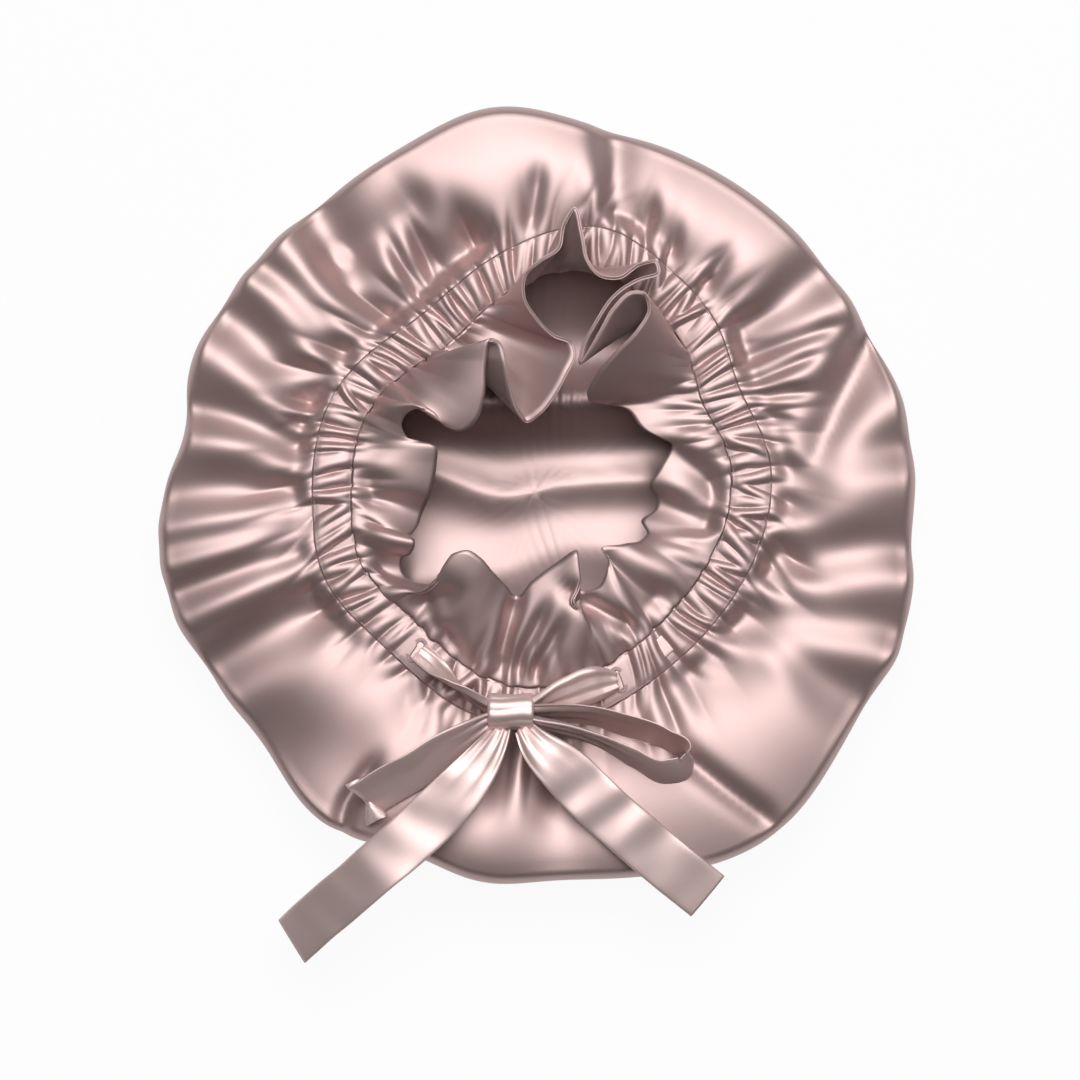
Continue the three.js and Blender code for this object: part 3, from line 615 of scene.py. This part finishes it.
# A flat band through key rows of place, side and width: a thin closed tube, capped at both ends.
# Where it is drawn narrower than its full width its cloth folds lengthwise into pleats.
def ribbon(name, keys, material, full_width, thickness, count, pleats=0, ripple=0, seed=1):
    keys = np.array(keys, float)
    line = smooth_path(keys, count, 0, len(keys) - 1)
    along = np.gradient(line[:, :3], axis=0)
    along /= np.linalg.norm(along, axis=1, keepdims=True)
    normal = np.cross(along, line[:, 3:6])
    normal /= np.linalg.norm(normal, axis=1, keepdims=True)
    across = np.cross(normal, along)
    width = line[:, 6:7]
    place = section_places()[None, :]
    random = np.random.default_rng(seed)
    length = np.linspace(0, 2 * math.pi, count)[:, None]
    drawn_in = np.clip(1 - width / full_width, 0, 1)
    lift = pleats * drawn_in * np.cos(PLEATS_ACROSS * math.pi * place + random.uniform(0, PLEAT_SHIFT))
    for wave in RIPPLE_WAVES:
        swing = random.uniform(0, 2 * math.pi) + random.normal(0, RIPPLE_TWIST) * place
        lift = lift + ripple * random.normal(0, 1) / wave * np.sin(wave * length + swing)
    half = thickness / 2 * (1 - place**EDGE_SQUARENESS) ** 0.5
    faces = []
    for facing in (1, -1):
        face = line[:, None, :3] + across[:, None] * (place * width / 2)[..., None]
        faces.append(face + normal[:, None] * (lift + facing * half)[..., None])
    points = np.concatenate([faces[0], faces[1][:, -2:0:-1]], 1)
    piece = cloth(name, points, material, thickness=0)
    bpy.context.view_layer.objects.active = piece
    bpy.ops.object.mode_set(mode="EDIT")
    bpy.ops.mesh.select_all(action="SELECT")
    bpy.ops.mesh.fill_holes(sides=0)
    bpy.ops.object.mode_set(mode="OBJECT")
    return piece


def channel_keys(span, width, height):
    angles = np.linspace(*span, CHANNEL_STEPS)
    plan = casing_plan(angles, 0)
    sides = raised(heading(angles), 0)
    return np.concatenate([raised(plan, height), sides, np.full((len(angles), 1), width)], 1)


# Share of the thread's colour that is left in the painted shade between its strands.
PAINTED_GROOVE_SHADE = 0.8
THREAD_ROUGHNESS = 0.6
THREAD_SHEEN = 0.2
TWIST_UNEVENNESS = 1.5
TWIST_STRENGTH = 0.5


# Thread or knit: fine twisted strands that follow the piece's UV map, with painted shade that darkens
# the colour between them where the bump dips.
def thread_like(name, colour, across, along, depth):
    material = bpy.data.materials.new(name)
    material.use_nodes = True
    nodes = material.node_tree.nodes
    links = material.node_tree.links
    shader = nodes["Principled BSDF"]
    shader.inputs["Roughness"].default_value = THREAD_ROUGHNESS
    shader.inputs["Sheen Weight"].default_value = THREAD_SHEEN
    place = nodes.new("ShaderNodeTexCoord")
    scale = nodes.new("ShaderNodeMapping")
    scale.inputs["Scale"].default_value = (across, along, across)
    links.new(place.outputs["UV"], scale.inputs["Vector"])
    twist = nodes.new("ShaderNodeTexWave")
    twist.inputs["Scale"].default_value = 1
    twist.inputs["Distortion"].default_value = TWIST_UNEVENNESS
    links.new(scale.outputs["Vector"], twist.inputs["Vector"])
    tint = nodes.new("ShaderNodeMix")
    tint.data_type = "RGBA"
    # Painted shade: the colour darkens where the twist's bump is low, between the strands.
    tint.inputs["A"].default_value = (*(PAINTED_GROOVE_SHADE * value for value in colour), 1)
    tint.inputs["B"].default_value = (*colour, 1)
    links.new(twist.outputs["Fac"], tint.inputs["Factor"])
    links.new(tint.outputs["Result"], shader.inputs["Base Color"])
    bump = nodes.new("ShaderNodeBump")
    bump.inputs["Strength"].default_value = TWIST_STRENGTH
    bump.inputs["Distance"].default_value = depth
    links.new(twist.outputs["Fac"], bump.inputs["Height"])
    links.new(bump.outputs["Normal"], shader.inputs["Normal"])
    return material


ELASTIC_CREAM = (0.82, 0.79, 0.76)
THREAD_ROSE = (0.60, 0.43, 0.42)
ROSE_RIBBON = (0.74, 0.565, 0.54)
ROSE_RIBBON_SHADE = (0.70, 0.535, 0.51)
RIBBON_ROUGHNESS = 0.5
RIBBON_METALLIC = 0.65
knitted_elastic = thread_like("knitted_elastic", ELASTIC_CREAM, across=1800, along=900, depth=0.0003)
rose_thread = thread_like("rose_thread", THREAD_ROSE, across=2500, along=2500, depth=0.0002)
ribbon_satin = satin("ribbon_satin", ROSE_RIBBON, ROSE_RIBBON_SHADE, RIBBON_ROUGHNESS, RIBBON_METALLIC)

elastic_keys = channel_keys(ELASTIC_SPAN, ELASTIC_WIDTH, ELASTIC_HEIGHT)
elastic = ribbon(
    "elastic", elastic_keys, knitted_elastic, ELASTIC_WIDTH, ELASTIC_THICKNESS, ELASTIC_STEPS
)
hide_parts("elastic_band")
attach(elastic, "bonnet")
for side in SLIT_ANGLES:
    anchor_keys = channel_keys(ANCHOR_SPANS[side], SLIT_LENGTH, ANCHOR_HEIGHT)
    end_name = f"ribbon_end_{side}"
    anchor = ribbon(end_name, anchor_keys, ribbon_satin, SLIT_LENGTH, ELASTIC_THICKNESS, ANCHOR_STEPS)
    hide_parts(f"tie_anchor_{side}")
    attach(anchor, "bonnet")
    tack_keys = channel_keys(TACK_SPANS[side], SLIT_LENGTH, TACK_HEIGHT)
    tack_name = f"bar_tack_{side}"
    tack = ribbon(tack_name, tack_keys, rose_thread, SLIT_LENGTH, ELASTIC_THICKNESS, TACK_STEPS)
    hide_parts(f"elastic_tack_{side}")
    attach(tack, "bonnet")

# Stitching: two rows of thread that make the channel, and overcast thread round each slit.
# Every stitch is a short plump length of thread lying in the dip that it pulls into the cloth.
STITCH_LENGTH = 2.2
STITCH_WIDTH = 0.45
STITCH_PITCH = 3.1
STITCH_BLUNTNESS = 0.7
STITCH_SIDES = 8
STITCH_RINGS = 6
ROW_LIFT = -0.1
BINDING_REACH = 0.5
BINDING_LENGTH = 1.7
BINDING_INNER = 0.75
BINDING_RISE = 0.2
BINDING_STITCHES = 40


# One stitch along X at the origin, in millimetres, as points and faces. The faces are sorted,
# because Blender lists those of a sphere in another order each run.
def one_stitch():
    bpy.ops.mesh.primitive_uv_sphere_add(segments=STITCH_SIDES, ring_count=STITCH_RINGS, radius=1)
    shape = bpy.context.object
    points = np.array([vertex.co for vertex in shape.data.vertices])[:, [2, 0, 1]]
    faces = sorted(list(face.vertices) for face in shape.data.polygons)
    bpy.data.objects.remove(shape)
    points[:, 0] = np.sign(points[:, 0]) * np.abs(points[:, 0]) ** STITCH_BLUNTNESS
    return points * np.array([STITCH_LENGTH, STITCH_WIDTH, STITCH_WIDTH]) / 2, faces


stitch_points, stitch_faces = one_stitch()


# Copies of the stitch, each between two ends.
def stitches(name, starts, ends, material):
    middle = (starts + ends) / 2
    along = ends - starts
    length = np.linalg.norm(along, axis=1, keepdims=True)
    along = along / length
    across = np.cross([0, 0, 1], along)
    across /= np.linalg.norm(across, axis=1, keepdims=True)
    up = np.cross(along, across)
    stretch = length / STITCH_LENGTH
    x, y, z = (stitch_points[None, :, k, None] for k in range(3))
    points = middle[:, None] + x * (along * stretch)[:, None] + y * across[:, None] + z * up[:, None]
    faces = []
    for copy in range(len(middle)):
        first = copy * len(stitch_points)
        faces += [[first + corner for corner in face] for face in stitch_faces]
    mesh = bpy.data.meshes.new(name)
    mesh.from_pydata((points.reshape(-1, 3) * MM).tolist(), [], faces)
    mesh.uv_layers.new(name="cloth")
    mesh.polygons.foreach_set("use_smooth", np.ones(len(faces), bool))
    mesh.materials.append(material)
    piece = bpy.data.objects.new(name, mesh)
    bpy.context.scene.collection.objects.link(piece)
    return piece


def on_casing(angles, place):
    return raised(casing_plan(angles, place * CASING_HALF), casing_height(angles, place) + ROW_LIFT)


row_count = round(2 * math.pi * CASING_RADIUS / STITCH_PITCH)
row_starts = turns(row_count)
row_ends = row_starts + FULL_TURN / row_count * STITCH_LENGTH / STITCH_PITCH
for node, place in (("crown_stitch_row", STITCH_PLACE), ("frill_stitch_row", -STITCH_PLACE)):
    starts = on_casing(row_starts, place)
    row = stitches(f"{node}_thread", starts, on_casing(row_ends, place), rose_thread)
    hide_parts(node)
    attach(row, "bonnet")

for side, angle in SLIT_ANGLES.items():
    lap_angle = turns(BINDING_STITCHES)
    rounding = heading(lap_angle) * (SLIT_WIDTH / 2 + BINDING_REACH)
    straight = np.sign(rounding[:, :1]) * np.array([(SLIT_LENGTH - SLIT_WIDTH) / 2, 0])
    turned = np.stack([heading(np.array(angle)), heading(np.array(angle + 90))])
    slit_middle = casing_plan(np.array([angle]), 0)
    inner = (rounding * BINDING_INNER + straight) @ turned + slit_middle
    outer = (rounding * (1 + BINDING_LENGTH / SLIT_WIDTH) + straight) @ turned + slit_middle
    lip = CASING_HEIGHT + CASING_DOME + ROW_LIFT
    starts = raised(inner, lip + BINDING_RISE)
    binding = stitches(f"slit_binding_{side}", starts, raised(outer, lip), rose_thread)
    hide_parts(f"buttonhole_{side}")
    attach(binding, "bonnet")

# Frill: the two layers beyond the inner row of stitching, left free as a deep ruffle over the mouth.
# Its edge is turned, so both layers show there as a double rim round every fold.

# The frill's free edge, read round the photo from the right: pixel across and down, height in
# millimetres, the angle at the casing that the cloth comes from, and how much it arches on the way.
FRILL_EDGE = [
    (647, 533, 33, -22, 5),
    (641, 521, 31, -17, 5),
    (652, 507, 32, -12, 6),
    (648, 487, 34, -6, 7),
    (657, 470, 36, 1, 7),
    (668, 447, 40, 9, 5),
    (640, 427, 36, 15, 3),
    (627, 410, 34, 20, 1),
    (606, 404, 34, 24, 0),
    (588, 400, 40, 28, 2),
    (597, 376, 50, 31, 4),
    (615, 355, 56, 34, 3),
    (635, 335, 60, 38, 2),
    (647, 312, 62, 42, 1),
    (642, 298, 63, 45, 0),
    (630, 297, 63, 47, 0),
    (612, 312, 62, 49, 0),
    (598, 336, 60, 51, 0),
    (585, 358, 57, 53, 0),
    (579, 366, 55, 55, 0),
    (581, 354, 56, 57, 0),
    (594, 328, 58, 59, 0),
    (613, 301, 58, 61, 0),
    (638, 285, 57, 64, 0),
    (658, 276, 56, 66, 0),
    (655, 266, 56, 68, 0),
    (640, 268, 57, 72, 0),
    (617, 282, 58, 76, 0),
    (600, 280, 58, 80, 0),
    (588, 266, 58, 84, 0),
    (582, 240, 58, 87, 0),
    (574, 213, 58, 90, 0),
    (564, 228, 58, 93, 0),
    (558, 253, 58, 96, 0),
    (540, 265, 58, 99, 0),
    (526, 278, 57, 102, 0),
    (524, 302, 56, 105, 1),
    (537, 323, 54, 108, 0),
    (555, 340, 52, 111, -4),
    (571, 347, 51, 113, -8),
    (574, 356, 51, 115, -12),
    (566, 376, 51, 117, -15),
    (553, 399, 50, 120, -17),
    (540, 415, 49, 123, -17),
    (528, 423, 48, 126, -13),
    (517, 410, 51, 129, -7),
    (511, 390, 55, 131, -2),
    (507, 365, 58, 133, 3),
    (500, 346, 59, 135, 4),
    (493, 343, 60, 137, 6),
    (487, 365, 58, 139, 8),
    (485, 400, 55, 142, 10),
    (477, 423, 52, 145, 11),
    (463, 433, 50, 148, 11),
    (447, 427, 50, 151, 10),
    (437, 417, 51, 154, 9),
    (423, 410, 50, 157, 8),
    (410, 413, 47, 160, 7),
    (403, 426, 44, 163, 6),
    (408, 438, 41, 166, 5),
    (422, 443, 40, 170, 4),
    (437, 448, 40, 174, 4),
    (437, 463, 38, 179, 5),
    (432, 490, 36, 185, 6),
    (424, 520, 35, 191, 6),
    (412, 531, 42, 195, 5),
    (416, 541, 44, 199, 5),
    (411, 556, 40, 204, 4),
    (405, 565, 36, 208, 4),
    (418, 574, 35, 213, 6),
    (440, 580, 38, 219, 8),
    (446, 566, 48, 224, 6),
    (456, 553, 52, 229, 6),
    (468, 550, 53, 234, 6),
    (481, 557, 52, 239, 6),
    (493, 571, 49, 245, 5),
    (505, 584, 45, 251, 5),
    (516, 595, 43, 258, 5),
    (533, 580, 44, 266, 6),
    (560, 560, 46, 275, 7),
    (576, 550, 48, 282, 7),
    (573, 572, 44, 287, 6),
    (582, 590, 42, 291, 5),
    (598, 586, 43, 296, 5),
    (603, 566, 46, 301, 6),
    (601, 548, 47, 306, 7),
    (624, 543, 43, 316, 7),
    (640, 541, 37, 327, 6),
]
FRILL_COLUMNS = 1100
FRILL_ROWS = 24
FRILL_TURN = 0.45
FRILL_CROWDING = 1.2
FRILL_PLY = 0.55
EDGE_LAP = 3
FRILL_PUCKERS = [(45, 1.3, 10, 8)]
# Creases of the frill, written as the crown's are, from the casing to the frill's edge.
FRILL_CREASES = [
    (6, 8.5, [(738, 508), (705, 480), (668, 452)]),
    (5, 6.5, [(740, 527), (700, 520), (655, 503)]),
    (5, 6.5, [(352, 485), (385, 500), (425, 515)]),
    (3, 3, [(340, 525), (375, 522), (412, 528)]),
    (5, 5.5, [(345, 553), (380, 565), (415, 572)]),
    (5, 5.5, [(375, 618), (405, 614), (440, 600)]),
    (5, 3, [(497, 690), (503, 650), (513, 612)]),
    (4, 3, [(512, 695), (520, 660), (537, 625)]),
    (4, 3, [(530, 695), (540, 665), (553, 640)]),
    (4, 3, [(480, 690), (462, 660), (445, 640)]),
    (5, 3.5, [(655, 645), (615, 620), (580, 598)]),
    (6, 7, [(690, 630), (650, 598), (612, 562)]),
]


def sheet_normals(points):
    along = np.roll(points, -1, 1) - np.roll(points, 1, 1)
    normal = np.cross(along, np.gradient(points, axis=0))
    return normal / np.linalg.norm(normal, axis=-1, keepdims=True).clip(1e-9)


edge_keys = np.array([(*in_plan(row[0], row[1]), *row[2:]) for row in FRILL_EDGE], float)
whole_turn = np.array([0, 0, 0, FULL_TURN, 0])
lap_before = edge_keys[-EDGE_LAP:] - whole_turn
lap_after = edge_keys[:EDGE_LAP] + whole_turn
edge_keys = np.concatenate([lap_before, edge_keys, lap_after])
frill_edge = smooth_path(edge_keys, FRILL_COLUMNS + 1, EDGE_LAP, len(edge_keys) - EDGE_LAP)[:-1]
frill_angles = frill_edge[:, 3]
frill_root = raised(casing_plan(frill_angles, -CASING_HALF), CASING_HEIGHT)
frill_turn = frill_root + (frill_edge[:, :3] - frill_root) * FRILL_TURN
frill_turn[:, 2] = (frill_root[:, 2] + frill_edge[:, 2]) / 2 + frill_edge[:, 4]
down_frill = np.linspace(0, 1, FRILL_ROWS)[:, None, None] ** FRILL_CROWDING
frill_middle = (1 - down_frill) ** 2 * frill_root + down_frill**2 * frill_edge[:, :3]
frill_middle = frill_middle + 2 * down_frill * (1 - down_frill) * frill_turn
frill_length = np.linalg.norm(np.diff(frill_middle, axis=0), axis=2).cumsum(0)
from_stitch = np.concatenate([np.zeros((1, FRILL_COLUMNS)), frill_length])
frill_rise = beyond_seam(frill_angles, from_stitch, -1)
for count, height, peak, fade in FRILL_PUCKERS:
    fading = np.exp(-(((from_stitch - peak) / fade) ** 2))
    frill_rise += height * fading * ridges(gather_phase(frill_angles, count))
frill_rise += crease_rise(frill_middle[..., :2], FRILL_CREASES) * ease(0, FOLD_FADE, from_stitch)
frill_normal = sheet_normals(frill_middle)
frill_middle = frill_middle + frill_normal * frill_rise[..., None]

frill_outer = cloth("frill_satin", frill_middle + FRILL_PLY * frill_normal, rose_satin)
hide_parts("frill_outer")
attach(frill_outer, "bonnet")
frill_lining = cloth("frill_lining_satin", frill_middle - FRILL_PLY * frill_normal, rose_lining)
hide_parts("frill_lining")
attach(frill_lining, "bonnet")

# Edge of the frill: the seam turned in between the two layers, felt as a fine cord along the rim.
# It is the same thread as the other seams and follows the edge all the way round.
EDGE_SETBACK = 0.5
EDGE_CORD = 0.35
EDGE_SIDES = 6
edge_back = frill_middle[-1] - frill_middle[-2]
edge_back /= np.linalg.norm(edge_back, axis=1, keepdims=True)
edge_line = frill_middle[-1] - EDGE_SETBACK * edge_back
edge_round = turns(EDGE_SIDES)
edge_points = []
for turn in np.radians(edge_round):
    outward = math.cos(turn) * edge_back + math.sin(turn) * frill_normal[-1]
    edge_points.append(edge_line + EDGE_CORD * outward)
edge_points = np.array(edge_points + edge_points[:1])
edge_cord = cloth("frill_edge_cord", edge_points, rose_thread, thickness=0)
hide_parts("frill_edge_stitch")
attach(edge_cord, "bonnet")

# Ties: the ribbon's runs from the slits to the knot. The ribbon is a flattened tube of satin,
# drawn narrow in the slit and again in the knot.
RIBBON_WIDTH = 22
RIBBON_THICKNESS = 1.1
RIBBON_STEPS = 120
PLEAT_HEIGHT = 2.2
RIPPLE = 0.5
RUN_RIPPLE = 0.1
RUN_SEED = 3
KNOT = np.array(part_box("knot")).mean(0) / MM


# Key rows of a ribbon, written from the knot's middle as place, side and width.
def from_knot(rows):
    rows = np.array(rows, float)
    rows[:, :3] += KNOT
    return rows


# Length of the ribbon along its key rows, in metres.
def cut_length(rows):
    line = smooth_path(np.array(rows, float), RIBBON_STEPS, 0, len(rows) - 1)
    return float(np.linalg.norm(np.diff(line[:, :3], axis=0), axis=1).sum() * MM)


def tie_piece(name, rows, seed, ripple=RIPPLE):
    return ribbon(
        name,
        from_knot(rows),
        ribbon_satin,
        RIBBON_WIDTH,
        RIBBON_THICKNESS,
        RIBBON_STEPS,
        pleats=PLEAT_HEIGHT,
        ripple=ripple,
        seed=seed,
    )


LEFT_RUN = [
    (-38.7, 24.6, -4.6, -0.57, -0.82, 0.2, 8.4),
    (-30, 17, -1.5, -0.3, -0.5, 0.8, 12),
    (-20, 9, 0.5, -0.1, 0.2, 0.95, 12),
    (-8.4, 1.5, 0.3, 0, 0.5, 0.85, 8),
]
RIGHT_RUN = [
    (44.4, 12.6, -3.9, 0.33, -0.94, 0, 8.4),
    (36, 11.5, -0.8, 0.2, -0.95, -0.2, 15),
    (24, 7.5, 1.4, 0.1, -0.95, -0.3, 15),
    (8.4, 2, 0.8, 0, -0.6, -0.8, 8),
]
for side, rows in (("left", LEFT_RUN), ("right", RIGHT_RUN)):
    run = tie_piece(f"tie_{side}", rows, RUN_SEED, RUN_RIPPLE)
    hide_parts(f"tie_run_{side}")
    start, end = from_knot(rows)[[0, -1], :3] * MM
    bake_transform(run)
    cut_length(rows)

# Knot: the ribbon wrapped once round the middle of the bow and pulled tight.
# Its cloth is drawn into creases along its length and rolls in at both ends.
KNOT_PUFF = (2.5, 1.5, 0.8)
KNOT_SIZE = np.ptp(np.array(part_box("knot")), axis=0) / MM + np.array(KNOT_PUFF)
KNOT_CREASES = 9
CREASE_DEPTH = 0.07
CREASE_SWAY = 0.8
CREASE_SWAY_TURN = 2.5
KNOT_COLUMNS = 96
KNOT_ROWS = 40
# Half of the knot's profile, from an end to the middle: place along it and radius, both as shares
# of half the knot's size.
KNOT_PROFILE = [(0.86, 0.45), (0.95, 0.75), (1, 0.9), (0.95, 0.99), (0.8, 1.01), (0.4, 0.97), (0, 0.96)]

half_profile = np.array(KNOT_PROFILE, float)
knot_profile = np.concatenate([half_profile, (half_profile * [-1, 1])[-2::-1]])
knot_rows = smooth_path(np.pad(knot_profile, ((0, 0), (0, 1))), KNOT_ROWS, 0, len(knot_profile) - 1)
knot_angles = turns(KNOT_COLUMNS)
crease_sway = CREASE_SWAY * np.sin(CREASE_SWAY_TURN * knot_rows[:, :1])
knot_phase = KNOT_CREASES * np.radians(knot_angles)[None, :] + crease_sway
knot_radius = knot_rows[:, 1:2] * (1 + CREASE_DEPTH * ridges(knot_phase))
knot_round = heading(knot_angles)[None] * knot_radius[..., None] * KNOT_SIZE[1:] / 2
knot_across = np.broadcast_to(knot_rows[:, :1] * KNOT_SIZE[0] / 2, knot_radius.shape)
knot_points = np.concatenate([knot_across[..., None], knot_round], -1) + KNOT
knot = cloth("knot_wrap", knot_points, ribbon_satin)
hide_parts("knot")
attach(knot, "bow")

# Loops: the ribbon doubled back into the knot. The left loop leans low over the crown and the
# right loop stands nearer to its edge.
LEFT_SIDE = (0.4, -0.65, -0.64)
RIGHT_SIDE = (0.15, -0.5, -0.85)
LEFT_LOOP = [
    (-8.2, -3.8, -2, 0, -0.9, -0.4, 8),
    (-20.7, -13, 2, *LEFT_SIDE, 17),
    (-33.7, -21.9, 3.9, *LEFT_SIDE, 21),
    (-47.2, -29.7, 3.7, *LEFT_SIDE, 22),
    (-58, -36, 4.2, *LEFT_SIDE, 22),
    (-60, -36.6, 6, *LEFT_SIDE, 22),
    (-55, -33, 7.4, *LEFT_SIDE, 22),
    (-43.1, -26.2, 8.5, *LEFT_SIDE, 22),
    (-29, -17, 8, *LEFT_SIDE, 20),
    (-18, -9.3, 5.2, *LEFT_SIDE, 15),
    (-8.2, -3, 2, 0, -0.9, -0.4, 8),
]
RIGHT_LOOP = [
    (8.2, -0.2, 0.4, 0, -0.5, -0.85, 8),
    (27.7, -0.5, 4, *RIGHT_SIDE, 16),
    (45.6, -4.9, 6, *RIGHT_SIDE, 20),
    (64.8, -11.4, 6.4, *RIGHT_SIDE, 22),
    (73.5, -17, 6.8, *RIGHT_SIDE, 22),
    (72, -22.5, 7.4, *RIGHT_SIDE, 22),
    (64, -24.5, 8, *RIGHT_SIDE, 22),
    (50.8, -18.5, 8, *RIGHT_SIDE, 20),
    (36.3, -11.5, 6, *RIGHT_SIDE, 15),
    (20.6, -6.6, 2.6, *RIGHT_SIDE, 11),
    (8.2, -3.4, 0.4, 0, -0.5, -0.85, 8),
]
LOOP_BEND = 10
for side, rows, seed in (("left", LEFT_LOOP, 5), ("right", RIGHT_LOOP, 8)):
    loop = tie_piece(f"loop_of_{side}", rows, seed)
    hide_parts(f"loop_{side}")
    root = (from_knot(rows)[0, :3] + from_knot(rows)[-1, :3]) / 2
    way = from_knot(rows)[2, :3] - root
    way /= np.linalg.norm(way)
    end = root + LOOP_BEND * way
    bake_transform(loop)
    cut_length(rows)

# Tails: the ribbon's free ends. Each leaves the front of the knot, passes over the loop beside it
# and lies down over the crown's edge.
LEFT_TAIL = [
    (-3.6, -6.6, 1.6, -1, 0, 0, 8),
    (-8, -14.5, 6, -0.86, 0.5, 0, 13),
    (-19.5, -30, 10.5, -0.75, 0.66, 0, 20),
    (-29.8, -40.9, 10.5, -0.72, 0.69, 0, 22),
    (-42.6, -52.9, 10, -0.68, 0.73, -0.15, 22),
    (-57.4, -65.7, 8, -0.66, 0.75, -0.3, 22),
    (-67.7, -74.7, 3.5, -0.66, 0.75, -0.35, 22),
    (-76.6, -82.6, -3, -0.66, 0.75, -0.35, 22),
    (-85.8, -91.2, -9.5, -0.66, 0.75, -0.35, 22),
    (-92, -97, -14, -0.66, 0.75, -0.35, 22),
]
RIGHT_TAIL = [
    (5, -6.4, 2, -1, 0, 0, 8),
    (11, -14, 5.5, -0.75, -0.66, 0, 15),
    (22.5, -24.4, 6, -0.72, -0.69, 0, 21),
    (31.7, -33.8, 4.8, -0.7, -0.71, 0, 22),
    (40.9, -42.5, 3.6, -0.66, -0.75, 0, 22),
    (50.2, -50.4, 2.9, -0.65, -0.76, 0, 22),
    (58.5, -57.6, 1.8, -0.65, -0.76, 0, 22),
    (66.6, -64.5, 0.6, -0.65, -0.76, 0, 22),
    (75.8, -72, -1.5, -0.64, -0.77, 0, 22),
    (82, -77, -3, -0.64, -0.77, 0, 22),
]
TAIL_BEND = 12
TAIL_RIPPLE = 0.8
for side, rows, seed in (("left", LEFT_TAIL, 13), ("right", RIGHT_TAIL, 21)):
    tail = tie_piece(f"tail_of_{side}", rows, seed, TAIL_RIPPLE)
    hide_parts(f"tail_{side}")
    root = from_knot(rows)[0, :3]
    way = from_knot(rows)[1, :3] - root
    way /= np.linalg.norm(way)
    end = root + TAIL_BEND * way
    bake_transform(tail)
    cut_length(rows)

# Floor, light and camera: a pale floor that goes white to the camera but keeps the shadow,
# one large soft light above and behind, and a camera straight above at the photo's framing.
FLOOR_SIZE = 16
FLOOR_WHITE = 0.75
FLOOR_GLOW = 0.94
FLOOR_ROUGHNESS = 0.9
PHOTO_WIDTH = 0.4536
PHOTO_MIDDLE = (0.0021, -0.0202)
CAMERA_HEIGHT = 1.63
CAMERA_FOCUS = 0.03
KEY_PLACE = (0.05, 0.62, 1.62)
KEY_SIZE = (1.65, 1.45)
KEY_POWER = 36
KEY_TILT = (-21, 2, 0)
ROOM_LIGHT = 0.03

bpy.ops.mesh.primitive_plane_add(size=FLOOR_SIZE)
floor = bpy.context.object
floor.name = "floor"
floor_paint = bpy.data.materials.new("floor_paint")
floor_paint.use_nodes = True
nodes = floor_paint.node_tree.nodes
links = floor_paint.node_tree.links
shader = nodes["Principled BSDF"]
shader.inputs["Base Color"].default_value = (FLOOR_WHITE, FLOOR_WHITE, FLOOR_WHITE, 1)
shader.inputs["Roughness"].default_value = FLOOR_ROUGHNESS
glow = nodes.new("ShaderNodeEmission")
path = nodes.new("ShaderNodeLightPath")
seen = nodes.new("ShaderNodeMath")
seen.operation = "ADD"
links.new(path.outputs["Is Camera Ray"], seen.inputs[0])
links.new(path.outputs["Is Glossy Ray"], seen.inputs[1])
seen_through = nodes.new("ShaderNodeMath")
seen_through.operation = "ADD"
links.new(seen.outputs["Value"], seen_through.inputs[0])
links.new(path.outputs["Is Transmission Ray"], seen_through.inputs[1])
share = nodes.new("ShaderNodeMath")
share.operation = "MULTIPLY"
share.use_clamp = True
share.inputs[1].default_value = FLOOR_GLOW
links.new(seen_through.outputs["Value"], share.inputs[0])
blend = nodes.new("ShaderNodeMixShader")
links.new(share.outputs["Value"], blend.inputs["Fac"])
links.new(shader.outputs["BSDF"], blend.inputs[1])
links.new(glow.outputs["Emission"], blend.inputs[2])
links.new(blend.outputs["Shader"], nodes["Material Output"].inputs["Surface"])
floor.data.materials.append(floor_paint)

bpy.ops.object.light_add(type="AREA", location=KEY_PLACE)
key = bpy.context.object
key.name = "soft_key"
key.data.shape = "ELLIPSE"
key.data.size, key.data.size_y = KEY_SIZE
key.data.energy = KEY_POWER
key.rotation_euler = tuple(math.radians(angle) for angle in KEY_TILT)

world = bpy.data.worlds.new("studio")
bpy.context.scene.world = world
world.use_nodes = True
world.node_tree.nodes["Background"].inputs["Color"].default_value = (1, 1, 1, 1)
world.node_tree.nodes["Background"].inputs["Strength"].default_value = ROOM_LIGHT

bpy.ops.object.camera_add(location=(*PHOTO_MIDDLE, CAMERA_HEIGHT), rotation=(0, 0, 0))
camera = bpy.context.object
camera.data.lens = camera.data.sensor_width * (CAMERA_HEIGHT - CAMERA_FOCUS) / PHOTO_WIDTH
bpy.context.scene.camera = camera
bpy.context.scene.view_settings.view_transform = "Standard"
